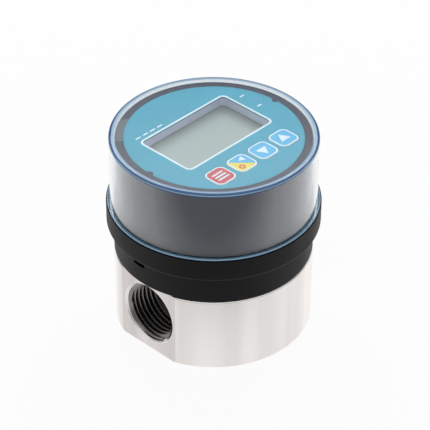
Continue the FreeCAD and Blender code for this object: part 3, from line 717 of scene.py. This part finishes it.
@cache
def box_of(node: str) -> tuple[Vector, Vector]:
    """Returns the lowest and highest corners of a CAD node, in millimetres."""
    low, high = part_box(node)
    return low / MM, high / MM


def top_of(node: str) -> float:
    """Returns the height of a CAD node's top, in millimetres."""
    return box_of(node)[1].z


def centre_of(node: str) -> Vector:
    """Returns the centre of a CAD node's box, in millimetres."""
    low, high = box_of(node)
    return (low + high) / 2


# Sub-assemblies


class Side(Enum):
    """The two ends of the flow, by the sign of X."""

    INLET = -1
    OUTLET = 1


@dataclass
class SteelBody:
    """Turned steel body with a flat and a tapped port at each end.

    Attributes:
        radius: Radius of the body, in millimetres.
        flat: Distance of each flat from the axis.
        thread_root: Radius of the thread's root, the wall of the bore.
        thread_crest: Radius of the thread's crest.
        pitch: Advance of the thread in one turn.
        turns: Turns of the thread.
        ridge: Half the width of the thread's ridge at its root and at its crest, in pitches.
        run_out: Length over which the ridge runs out at each end, in pitches.
        end_height: Share of its height that is left at the ends.
        mouth: Depth of the chamfer at the port's mouth.
        edge: Width of the broken edges.
    """

    radius: float = 34.0
    flat: float = 31.6
    thread_root: float = 10.48
    thread_crest: float = 9.4
    pitch: float = 1.814
    turns: float = 6.6
    ridge: Place = (0.46, 0.10)
    run_out: float = 0.3
    end_height: float = 0.1
    mouth: float = 0.85
    edge: float = 0.25

    def build(self) -> None:
        """Builds the body and both threads."""
        self.block()
        for side in Side:
            self.thread(side)

    @property
    def port_height(self) -> float:
        """Height of the ports' axis, in millimetres."""
        return frame["record"]["mounts"][0]["pos_m"][2] / MM

    def from_port_axis(self, spot: Vector) -> float:
        """Returns a spot's distance from the ports' axis, in millimetres."""
        return math.hypot(spot.y, spot.z - self.port_height)

    def block(self) -> None:
        """Copies the body, breaks its outer edges, and paints shade on its bores and flats with darker
        steel.
        """
        shape = copied("meter_body")
        round_corners(shape, self.edge, self.is_outer_edge, segments=2)
        finishes = (STEEL, SHADED_BORE_STEEL, SHADED_MILLED_STEEL)
        dress(shape, finishes, self.finish_at)
        finished(shape, "steel_body", "meter", finishes, ["meter_body"])

    def is_outer_edge(self, spot: Vector) -> bool:
        """True for a spot on the outside of the body or at a port's mouth."""
        reach = self.mouth / 2
        return abs(spot.x) > self.flat - reach or spot.xy.length > self.radius - reach

    def finish_at(self, spot: Vector, normal: Vector) -> Finish:
        """Picks the finish at a spot of the body.

        Args:
            spot: Middle of a face, in millimetres.
            normal: Way the face looks.

        Returns:
            The finish.
        """
        # The bore takes a darker copy of the steel, which paints the shade inside it
        in_bore = self.from_port_axis(spot) < self.thread_root + NEAR
        if in_bore and abs(spot.x) < self.flat - self.mouth:
            return SHADED_BORE_STEEL
        # The flats take a darker copy of the steel, which paints their shade
        on_flat = abs(spot.x) > self.flat - NEAR and abs(normal.x) > FACING
        return SHADED_MILLED_STEEL if on_flat else STEEL

    @property
    def thread_length(self) -> float:
        """Length of the thread along the port, in millimetres."""
        return self.turns * self.pitch

    def helix(self) -> Shape:
        """Sweeps the thread's ridge along a helix about X, running out at both ends.

        Returns:
            The shape.
        """
        steps_per_turn = 72
        half_root, half_crest = (self.pitch * share for share in self.ridge)
        section = ((self.thread_root, -half_root), (self.thread_crest, -half_crest),
                   (self.thread_crest, half_crest), (self.thread_root, half_root))
        shape = bmesh.new()
        points = [shape.verts.new((along * MM, 0.0, radius * MM)) for radius, along in section]
        edges = [shape.edges.new(pair) for pair in zip(points, points[1:])]
        bmesh.ops.spin(shape, geom=points + edges, cent=(0, 0, 0), axis=(1, 0, 0),
                       dvec=(self.pitch / steps_per_turn * MM, 0, 0), angle=2 * math.pi * self.turns,
                       steps=int(self.turns * steps_per_turn), use_merge=False)
        for vert in shape.verts:
            radius = math.hypot(vert.co.y, vert.co.z) / MM
            from_end = min(vert.co.x / MM, self.thread_length - vert.co.x / MM) / self.pitch
            height = min(1.0, max(0.0, from_end / self.run_out + self.end_height))
            wanted = self.thread_root - (self.thread_root - radius) * height
            vert.co.yz *= wanted / radius
        return shape

    def thread(self, side: Side) -> None:
        """Sets the thread in one port, with its faces towards the port's axis.

        Args:
            side: The port.
        """
        shape = self.helix()
        inwards = self.flat - self.mouth - self.thread_length
        bmesh.ops.translate(shape, vec=(inwards * MM, 0, 0), verts=shape.verts[:])
        if side is Side.INLET:
            bmesh.ops.rotate(shape, verts=shape.verts[:], matrix=Matrix.Rotation(math.pi, 3, "Z"))
        bmesh.ops.translate(shape, vec=(0, 0, self.port_height * MM), verts=shape.verts[:])
        bmesh.ops.recalc_face_normals(shape, faces=shape.faces[:])
        for face in shape.faces:
            spot = face.calc_center_median()
            inward = Vector((0, -spot.y, self.port_height * MM - spot.z))
            if face.normal.dot(inward) < 0:
                face.normal_flip()
        # The thread takes the steel's darker copy, which paints the shade in the bore
        finished(shape, f"{side.name.lower()}_thread", "meter", (SHADED_BORE_STEEL,))


@dataclass
class HeadBase:
    """Black moulded base of the display head.

    Attributes:
        foot_radius: Radius at the foot of the band under its rim, in millimetres.
        band_radius: Radius of the band's wall.
        swell: How far the wall stands out beyond that, to come flush with the steel.
        rim_foot: Height of the rim's underside.
        rounded_from: Height from which its edges are rounded.
        edge: Width of that rounding.
    """

    foot_radius: float = 32.2
    band_radius: float = 33.1
    swell: float = 0.85
    rim_foot: float = 38.6
    rounded_from: float = 39.6
    edge: float = 0.08

    def build(self) -> None:
        """Copies the base, swells its band over the foot and rounds the rim's upper edges."""
        shape = copied("head_base")
        for vert in shape.verts:
            away, height = vert.co.xy.length / MM, vert.co.z / MM
            if self.foot_radius < away < self.band_radius + NEAR and height < self.rim_foot + NEAR:
                share = (away - self.foot_radius) / (self.band_radius - self.foot_radius)
                vert.co.xy *= 1 + self.swell * share / away
        round_corners(shape, self.edge, lambda spot: spot.z > self.rounded_from)
        finished(shape, "display_head_base", "meter", (BLACK_ABS,), ["head_base"])


@dataclass
class ClearCover:
    """Clear cap over the display, with a lip that rests on the rim and a groove for its seal.

    Attributes:
        radius: Outer radius of its wall, in millimetres.
        wall: Thickness of its wall.
        foot_wall: Thickness of its wall inside the rim.
        top_thick: Thickness of its top.
        lip_radius: Radius of its lip.
        lip_thick: Thickness of the lip.
        groove_radius: Radius of the seal groove's floor.
        groove_height: Height of the groove.
        ring: Width of the pale ring of painted highlight round its top, with the rounding.
        top_round: Rounding of its top edge.
        inner_round: Rounding inside its top.
        painted_highlight_line: Part of the top edge's rise that carries a painted highlight line, from and
            to.
        lip_round: Rounding of the lip's outer edges.
        edge: Rounding of its other edges.
    """

    radius: float = 35.03
    wall: float = 1.0
    foot_wall: float = 1.75
    top_thick: float = 1.0
    lip_radius: float = 35.98
    lip_thick: float = 0.65
    groove_radius: float = 33.83
    groove_height: float = 1.3
    ring: float = 1.9
    top_round: float = 0.98
    inner_round: float = 0.4
    painted_highlight_line: Place = (0.3, 0.6)
    lip_round: float = 0.3
    edge: float = 0.2

    def build(self) -> None:
        """Spins the cap's section, rounds its edges and finishes its ring, edges, wall and lip."""
        shape = turned(self.section())
        under = self.top - self.top_thick
        round_corners(shape, self.top_round, lambda spot: spot.z > self.top - NEAR, 5)
        round_corners(shape, self.inner_round, lambda spot: abs(spot.z - under) < NEAR, 8)
        round_corners(shape, self.lip_round, lambda spot: spot.xy.length > self.radius + NEAR, 4)
        round_corners(shape, self.edge, lambda spot: spot.z < self.lip_foot - NEAR, 2)
        finishes = (CLEAR_CAP, PAINTED_HIGHLIGHT_EDGE, TINTED_AND_SHADED_EDGE, COATED_WALL, TEAL_EDGE)
        dress(shape, finishes, self.finish_at)
        finished(shape, "clear_cap", "cover", finishes, ["clear_cover"])

    @property
    def top(self) -> float:
        """Height of its top, in millimetres."""
        return top_of("clear_cover")

    @property
    def foot(self) -> float:
        """Height of its foot, in millimetres."""
        return box_of("clear_cover")[0].z

    @property
    def lip_foot(self) -> float:
        """Height of the rim that its lip rests on, in millimetres."""
        return top_of("head_base")

    def section(self) -> list[Place]:
        """Lists the corners of the cap's section.

        Returns:
            Radius and height pairs in millimetres, both ends on the axis.
        """
        inside = self.radius - self.wall
        foot_inside = self.radius - self.foot_wall
        under = self.top - self.top_thick
        lip_top = self.lip_foot + self.lip_thick
        groove = (self.lip_foot + self.foot) / 2
        groove_top = groove + self.groove_height / 2
        groove_foot = groove - self.groove_height / 2
        return [
            (0.0, self.top),
            (self.radius - self.ring, self.top),
            (self.radius, self.top),
            (self.radius, lip_top),
            (self.lip_radius, lip_top),
            (self.lip_radius, self.lip_foot),
            (self.radius, self.lip_foot),
            (self.radius, groove_top),
            (self.groove_radius, groove_top),
            (self.groove_radius, groove_foot),
            (self.radius, groove_foot),
            (self.radius, self.foot),
            (foot_inside, self.foot),
            (foot_inside, self.lip_foot),
            (inside, lip_top),
            (inside, under),
            (0.0, under),
        ]

    def finish_at(self, spot: Vector, _normal: Vector) -> Finish:
        """Picks the finish at a spot of the cap.

        Args:
            spot: Middle of a face, in millimetres.
            _normal: Way the face looks, which isn't needed here.

        Returns:
            The finish.
        """
        away = spot.xy.length
        # The pale finish paints highlights: on the lip's upper rounding, on a line along the top edge, and
        # on the ring round the top
        if away > self.lip_radius - self.lip_round:
            # Upper half of the lip's rounding is painted highlight, and its lower half is deep blue, tint
            # and painted shade
            return PAINTED_HIGHLIGHT_EDGE if spot.z > self.lip_foot + self.lip_thick / 2 else TINTED_AND_SHADED_EDGE
        if away > self.radius + NEAR:
            return TEAL_EDGE
        # Along the top edge's rounding, the deep blue is tint and painted shade round the pale highlight
        # line
        rise = 1 - (self.top - spot.z) / self.top_round
        if rise > 0 and away > self.radius - self.top_round:
            start, end = self.painted_highlight_line
            return PAINTED_HIGHLIGHT_EDGE if start < rise < end else TINTED_AND_SHADED_EDGE
        if spot.z > self.top - NEAR and away > self.radius - self.ring:
            return PAINTED_HIGHLIGHT_EDGE
        return COATED_WALL if spot.z > self.lip_foot and away > self.radius - NEAR else CLEAR_CAP


class KeySign(Enum):
    """What is printed on a key."""

    BARS = "bars"
    SPLIT = "split"
    DOWN = "down"
    UP = "up"


@dataclass
class Key:
    """One key of the row, with its printed frame and sign.

    Attributes:
        node: CAD node of the key.
        slot: Material slot of the key, which is not used.
        sign: What is printed on it.
        films: Finishes of its cap.
        edge: Rounding of its top edge, in millimetres.
        frame_line: Width of the pale frame round its top.
        ink: Thickness of the print.
        sign_size: Side of a triangle.
        small_sign: Side of the triangle on a key of two colours.
        aside: Way from the key's middle to that triangle, and back to the ring on its other half.
        ring: Radius of the ring and width of its line.
        bar: Length, width and corner of each of three bars.
        bar_pitch: Distance between the bars.
    """

    node: str
    slot: str
    sign: KeySign
    films: tuple[Finish, ...]
    edge: float = 0.2
    frame_line: float = 0.65
    ink: float = 0.03
    sign_size: float = 4.4
    small_sign: float = 2.64
    aside: Point = (1.5, 1.6, 0.0)
    ring: Place = (1.1, 0.5)
    bar: Point = (4.8, 0.7, 0.3)
    bar_pitch: float = 1.5

    def build(self) -> None:
        """Builds the cap and its sign."""
        self.cap()
        self.printed_sign()

    @property
    def body(self) -> str:
        """Name of the CAD body that the key moves with."""
        return self.node + "_unit"

    @property
    def spot(self) -> Vector:
        """Middle of the key's top, in millimetres."""
        centre = centre_of(self.node)
        return Vector((centre.x, centre.y, top_of(self.node)))

    def cap(self) -> None:
        """Copies the key, rounds its top edge, frames its top and splits it where it has two colours."""
        shape = copied(self.node)
        spot = self.spot
        round_corners(shape, self.edge, lambda place: place.z > spot.z - NEAR)
        height = spot.z * MM - SAME_POINT
        tops = [face for face in shape.faces
                if face.normal.z > FACING and face.calc_center_median().z > height]
        bmesh.ops.inset_region(shape, faces=tops, thickness=(self.frame_line - self.edge) * MM,
                               use_boundary=True, use_even_offset=True)
        for face in shape.faces:
            face.material_index = 0 if face in tops else len(self.films)
        if self.sign is KeySign.SPLIT:
            across = Vector((1, 1, 0)).normalized()
            parts = {part for face in tops for part in (face, *face.edges, *face.verts)}
            bmesh.ops.bisect_plane(shape, geom=list(parts), dist=SAME_POINT, plane_co=spot * MM,
                                   plane_no=across)
            for face in shape.faces:
                if face.material_index == 0 and (face.calc_center_median() - spot * MM).dot(across) > 0:
                    face.material_index = 1
        finished(shape, f"{self.node}_cap", self.body, (*self.films, WHITE_INK), [self.node])

    def printed_sign(self) -> None:
        """Prints the key's sign."""
        spot = self.spot
        if self.sign is KeySign.BARS:
            places = [spot + Vector((0, row * self.bar_pitch, 0)) for row in (-1, 0, 1)]
            signs = [raised(rounded_sheet(*self.bar), self.ink, place) for place in places]
        elif self.sign is KeySign.SPLIT:
            aside = Vector(self.aside)
            signs = [raised(triangle(self.small_sign, 90), self.ink, spot + aside)]
            radius, line = self.ring
            disc = bmesh.new()
            bmesh.ops.create_circle(disc, cap_ends=True, segments=32, radius=radius * MM)
            ring = raised(outline_of(disc, line), self.ink, spot - aside)
            finished(ring, f"{self.node}_ring", self.body, (RED_INK,))
        else:
            turn = 0 if self.sign is KeySign.UP else 180
            signs = [raised(triangle(self.sign_size, turn), self.ink, spot)]
        finished(joined(signs), f"{self.node}_sign", self.body, (WHITE_INK,))


@dataclass
class DisplayFace:
    """Inner shell with its bezel, the printed label, and the display behind its window.

    Attributes:
        bezel_inside: Radius of the bezel's inner edge, in millimetres.
        bezel_round: Height of the bezel's rounded edge.
        label_edge: Rounding of the label's edges.
        window: Width and height of the label's window.
        window_rise: Height of the window's middle on the face.
        window_corner: Radius of its corners.
        well_reach: How far outside the window the display's well still reaches.
        frame_line: Width of the printed line round the window.
        ink: Thickness of the print.
        marks: X, Y and length of each printed dash: a row of four at the top, and two at the side.
        dash: Width of a dash and radius of its corners.
        glass_corner: Radius of the display's corners.
        glass_edge: Width of its broken edges.
        polariser_margin: Bare glass round the display's polariser.
        polariser: Thickness of the polariser.
        polariser_corner: Radius of its corners.
    """

    bezel_inside: float = 29.0
    bezel_round: float = 0.35
    label_edge: float = 0.08
    window: Place = (39.0, 22.2)
    window_rise: float = 3.4
    window_corner: float = 1.5
    well_reach: float = 0.5
    frame_line: float = 0.75
    ink: float = 0.03
    marks: tuple[Point, ...] = (
        *((-18.4 + 3.3 * index, 17.0, 2.3) for index in range(4)),
        (23.9, 9.8, 2.0),
        (23.9, 1.7, 2.0),
    )
    dash: Place = (0.6, 0.25)
    glass_corner: float = 0.3
    glass_edge: float = 0.1
    polariser_margin: float = 0.8
    polariser: float = 0.2
    polariser_corner: float = 0.4

    def build(self) -> None:
        """Builds the shell, the label and its print, and the display."""
        self.shell()
        self.label()
        self.window_frame()
        self.dashes()
        self.display()

    def shell(self) -> None:
        """Copies the shell: a lit grey on its bezel, painted shade on its sides, painted light on the
        well's walls.
        """
        shape = copied("display_shell")
        finishes = (SHADED_GREY_ABS, WELL_PAINTED_LIGHT, BEZEL_ABS)
        dress(shape, finishes, self.finish_at)
        finished(shape, "inner_shell", "meter", finishes, ["display_shell"])

    def finish_at(self, spot: Vector, normal: Vector) -> Finish:
        """Picks the finish at a spot of the shell.

        Args:
            spot: Middle of a face, in millimetres.
            normal: Way the face looks.

        Returns:
            The finish.
        """
        # The bezel's top takes the lighter grey, and the sides the nearly black copy, which is painted
        # shade
        if spot.z > top_of("display_shell") - self.bezel_round and spot.xy.length > self.bezel_inside:
            return BEZEL_ABS
        half_width, half_height = (size / 2 + self.well_reach for size in self.window)
        in_well = abs(spot.x) < half_width and abs(spot.y - self.window_rise) < half_height
        is_wall = abs(normal.z) < 0.5
        # The well's walls take the pale copy, which paints light into their shade
        return WELL_PAINTED_LIGHT if in_well and is_wall else SHADED_GREY_ABS

    def label(self) -> None:
        """Copies the label and breaks its upper edges."""
        shape = copied("face_label")
        top = top_of("face_label")
        round_corners(shape, self.label_edge, lambda spot: spot.z > top - NEAR, 1)
        finished(shape, "printed_label", "meter", (TEAL_FILM,), ["face_label"])

    def window_frame(self) -> None:
        """Prints a pale line round the window."""
        width, height = (size + 2 * self.frame_line for size in self.window)
        corner = self.window_corner + self.frame_line
        ring = outline_of(rounded_sheet(width, height, corner), self.frame_line)
        place = (0.0, self.window_rise, top_of("face_label"))
        finished(raised(ring, self.ink, place), "window_frame", "meter", (WHITE_INK,))

    def dashes(self) -> None:
        """Prints plain dashes at the places of the label's marks."""
        top = top_of("face_label")
        shapes = [raised(rounded_sheet(length, *self.dash), self.ink, (x, y, top))
                  for x, y, length in self.marks]
        finished(joined(shapes), "label_dashes", "meter", (WHITE_INK,))

    def display(self) -> None:
        """Builds the display: a glass plate with a polariser sheet on it."""
        low, high = box_of("display_panel")
        size = high - low
        middle = (low + high) / 2
        plate = raised(rounded_sheet(size.x, size.y, self.glass_corner), size.z - self.polariser,
                       (middle.x, middle.y, low.z))
        round_corners(plate, self.glass_edge, lambda spot: True, 1)
        margin = 2 * self.polariser_margin
        sheet = rounded_sheet(size.x - margin, size.y - margin, self.polariser_corner)
        film = raised(sheet, self.polariser, (middle.x, middle.y, high.z - self.polariser))
        finished(joined([plate, film]), "display_glass", "meter", (LIQUID_CRYSTAL,),
                 ["display_panel"])


@dataclass
class InnerPieces:
    """CAD nodes that keep their own mesh and get a finish.

    Attributes:
        finishes: Nodes of each finish.
    """

    finishes: dict[Finish, tuple[str, ...]]

    def build(self) -> None:
        """Dresses each node."""
        for finish, nodes in self.finishes.items():
            for node in nodes:
                mesh = frame["nodes"][node].data
                mesh.materials.clear()
                mesh.materials.append(finish.material())
                logger.info("%s: %s", node, finish.name)


# Studio


def seen_directly(tree: Tree) -> Socket:
    """Adds a test for rays from the camera, from reflections and through clear pieces.

    Args:
        tree: Node tree that takes the nodes.

    Returns:
        Socket that is 1 for those rays.
    """
    camera = add_node(tree, "ShaderNodeLightPath", output="Is Camera Ray")
    glossy = add_node(tree, "ShaderNodeLightPath", output="Is Glossy Ray")
    through = add_node(tree, "ShaderNodeLightPath", output="Is Transmission Ray")
    either = add_node(tree, "ShaderNodeMath", {0: camera, 1: glossy}, operation="MAXIMUM")
    return add_node(tree, "ShaderNodeMath", {0: either, 1: through}, operation="MAXIMUM")


def dimmed_in_mirrors(tree: Tree, share: Socket, level: float) -> Socket:
    """Adds the strength of a plain white that is dimmer where reflections show it.

    Args:
        tree: Node tree that takes the nodes.
        share: How far the white is dimmed at a place, 0 to 1.
        level: Strength where it is dimmed all the way.

    Returns:
        Socket with the strength.
    """
    mirrored = add_node(tree, "ShaderNodeLightPath", output="Is Glossy Ray")
    dimmed = add_node(tree, "ShaderNodeMath", {0: share, 1: mirrored}, operation="MULTIPLY")
    return add_node(tree, "ShaderNodeMapRange", {"Value": dimmed, "To Min": 1.0, "To Max": level})


@dataclass(frozen=True)
class Paper(Finish):
    """White paper floor: it takes the object's shadow, and is nearly plain white where it is seen.

    Attributes:
        tone: Colour of the paper.
        seen_white: Share of plain white where it is seen, as itself, mirrored or through clear pieces.
        front: Way from the object to the front, where reflections show the paper dimmer.
        near: Distance to the front where it starts to dim, in millimetres.
        far: Distance where it is dimmed all the way.
        front_level: Strength of the white there.
    """

    tone: str = "#f4f4f4"
    seen_white: float = 0.92
    front: Point = (-0.725, -0.688, 0.0)
    near: float = 58.0
    far: float = 112.0
    front_level: float = 0.4

    def shade(self, tree: Tree) -> dict[str, Socket]:
        """Adds the floor's nodes.

        Args:
            tree: Node tree of the material.

        Returns:
            What goes to each socket of the output.
        """
        fibres = Pattern(1.5).spread(tree, 0.0, 1.0)
        paper = add_node(tree, "ShaderNodeBsdfDiffuse", {"Color": linear(self.tone), "Roughness": fibres})
        place = add_node(tree, "ShaderNodeTexCoord", output="Object")
        forward = add_node(tree, "ShaderNodeVectorMath", {0: place, 1: self.front}, output="Value",
                           operation="DOT_PRODUCT")
        share = add_node(tree, "ShaderNodeMapRange", {
            "Value": forward, "From Min": self.near * MM, "From Max": self.far * MM,
        })
        strength = dimmed_in_mirrors(tree, share, self.front_level)
        white = add_node(tree, "ShaderNodeEmission", {"Color": (1, 1, 1, 1), "Strength": strength})
        shown = add_node(tree, "ShaderNodeMath", {0: seen_directly(tree), 1: self.seen_white},
                         operation="MULTIPLY")
        return {"Surface": add_node(tree, "ShaderNodeMixShader", {0: shown, 1: paper, 2: white})}


def towards(azimuth: float, elevation: float) -> Vector:
    """Direction from the object to where a view of that azimuth and elevation stands.

    Args:
        azimuth: Way of the view, in degrees, where 0 looks along +Y.
        elevation: Height above the horizon, in degrees.

    Returns:
        Unit vector.
    """
    turn, rise = math.radians(azimuth), math.radians(elevation)
    flat = math.cos(rise)
    return Vector((flat * math.sin(turn), -flat * math.cos(turn), math.sin(rise)))


@dataclass(frozen=True)
class Softbox:
    """Soft round lamp that faces the object.

    Attributes:
        name: Name of the lamp.
        azimuth: Where it stands, as for a view, in degrees.
        elevation: Height above the horizon, in degrees.
        power: Power in watts.
        size: Width of the lamp, in millimetres.
        distance: Distance from the object, in millimetres.
    """

    name: str
    azimuth: float
    elevation: float
    power: float
    size: float = 350.0
    distance: float = 900.0

    def stand(self, target: Point) -> None:
        """Stands the lamp.

        Args:
            target: Point that it faces, in millimetres.
        """
        light = bpy.data.lights.new(self.name, "AREA")
        light.shape = "DISK"
        light.size = self.size * MM
        light.energy = self.power
        lamp = placed(self.name, light)
        away = towards(self.azimuth, self.elevation)
        lamp.location = (Vector(target) + away * self.distance) * MM
        lamp.rotation_euler = away.to_track_quat("Z", "Y").to_euler()


@dataclass
class Studio:
    """Floor, backdrop light, lamps and camera.

    Attributes:
        azimuth: Way the camera looks, in degrees, where 0 looks along +Y.
        elevation: Height of the camera above the horizon, in degrees.
        distance: Distance of the camera from its target, in millimetres.
        target: Point it looks at, in millimetres.
        roll: Roll of the camera, in degrees.
        lens: Focal length of the camera, in millimetres.
        film_width: Width of the camera's picture inside it.
        floor_half: Half the width of the floor.
        sky: Strength of the backdrop's light on the object.
        dim_height: Height up to which mirrors show the backdrop dimmer, as a unit vector's Z.
        dim_blend: Rise over which it goes back to its full strength.
        dim_level: Strength of the backdrop there.
        lamps: Soft lamps round the object.
    """

    azimuth: float = -46.5
    elevation: float = 36.4
    distance: float = 714.0
    target: Point = (0.31, -0.32, 39.08)
    roll: float = 0.35
    lens: float = 176.1
    film_width: float = 36.0
    floor_half: float = 3000.0
    sky: float = 0.72
    dim_height: float = 0.53
    dim_blend: float = 0.05
    dim_level: float = 0.4
    lamps: tuple[Softbox, ...] = (
        Softbox("right_softbox", 112.0, 44.0, 1.6),
        Softbox("left_softbox", 155.0, 44.0, 1.6),
    )

    def build(self) -> None:
        """Sets up the floor, the light and the camera."""
        bpy.context.scene.view_settings.view_transform = "Standard"
        self.floor()
        self.backdrop()
        for lamp in self.lamps:
            lamp.stand(self.target)
        self.camera()

    def floor(self) -> None:
        """Lays a wide white floor under the object."""
        shape = bmesh.new()
        bmesh.ops.create_grid(shape, x_segments=4, y_segments=4, size=self.floor_half * MM)
        mesh = mesh_from(shape, "floor")
        mesh.materials.append(Paper("white_paper").material())
        floor = placed("floor", mesh)

    def backdrop(self) -> None:
        """Makes the world a soft light, plain white where it is seen and dimmer low down in mirrors."""
        world = bpy.data.worlds.new("white_backdrop")
        bpy.context.scene.world = world
        world.use_nodes = True
        tree = world.node_tree
        tree.nodes.clear()
        light = add_node(tree, "ShaderNodeBackground", {"Color": (1, 1, 1, 1), "Strength": self.sky})
        height = add_node(tree, "ShaderNodeSeparateXYZ", {
            "Vector": add_node(tree, "ShaderNodeTexCoord", output="Generated"),
        }, output="Z")
        share = add_node(tree, "ShaderNodeMapRange", {
            "Value": height, "From Min": self.dim_height, "From Max": self.dim_height + self.dim_blend,
            "To Min": 1.0, "To Max": 0.0,
        })
        strength = dimmed_in_mirrors(tree, share, self.dim_level)
        white = add_node(tree, "ShaderNodeBackground", {"Color": (1, 1, 1, 1), "Strength": strength})
        mixed = add_node(tree, "ShaderNodeMixShader", {0: seen_directly(tree), 1: light, 2: white})
        add_node(tree, "ShaderNodeOutputWorld", {"Surface": mixed})

    def camera(self) -> None:
        """Stands the camera where the photograph was taken from."""
        eye = bpy.data.cameras.new("camera")
        eye.lens = self.lens
        eye.sensor_width = self.film_width
        eye.clip_start = 0.01
        stand = placed("camera", eye)
        away = towards(self.azimuth, self.elevation)
        stand.location = (Vector(self.target) + away * self.distance) * MM
        level = away.to_track_quat("Z", "Y").to_matrix()
        stand.rotation_euler = (level @ Matrix.Rotation(math.radians(self.roll), 3, "Z")).to_euler()
        bpy.context.scene.camera = stand


# What is built


KEYS = (
    Key("menu_key", "key_red", KeySign.BARS, (RED_FILM,)),
    Key("shift_key", "key_two_tone", KeySign.SPLIT, (YELLOW_FILM, BLUE_FILM)),
    Key("down_key", "key_blue", KeySign.DOWN, (BLUE_FILM,)),
    Key("up_key", "key_blue", KeySign.UP, (BLUE_FILM,)),
)

INNER_FINISHES: dict[Finish, tuple[str, ...]] = {
    STEEL: ("chamber_plate",),
    GEAR_STEEL: ("oval_gear_rear", "oval_gear_front", "gear_shaft_rear", "gear_shaft_front"),
    CARBON_PLASTIC: ("gear_bush_rear", "gear_bush_front", "thrust_washers_rear", "thrust_washers_front"),
    NICKEL: ("gear_magnets_rear", "gear_magnets_front"),
    ZINC: ("plate_screws", "base_screws", "board_screws", "sensor_screws"),
    RUBBER: ("chamber_seal", "base_gasket", "cover_seal"),
    BLACK_ABS: ("battery_holder", "key_switches"),
    EPOXY: ("controller_chip", "magnetic_sensor"),
    NYLON: ("menu_key_stem", "shift_key_stem", "down_key_stem", "up_key_stem", "panel_carrier",
            "lead_sockets", "ribbon_lead"),
    GREEN_BOARD: ("main_board", "sensor_board"),
    BRASS: ("battery_contacts", "switch_domes"),
    SLEEVE: ("battery_cell",),
}


def main() -> None:
    """Builds the model and the studio round it."""
    logging.basicConfig(level=logging.INFO, format="%(name)s: %(message)s")
    SteelBody().build()
    HeadBase().build()
    DisplayFace().build()
    for key in KEYS:
        key.build()
    ClearCover().build()
    InnerPieces(INNER_FINISHES).build()
    Studio().build()


if __name__ == "__main__":
    main()
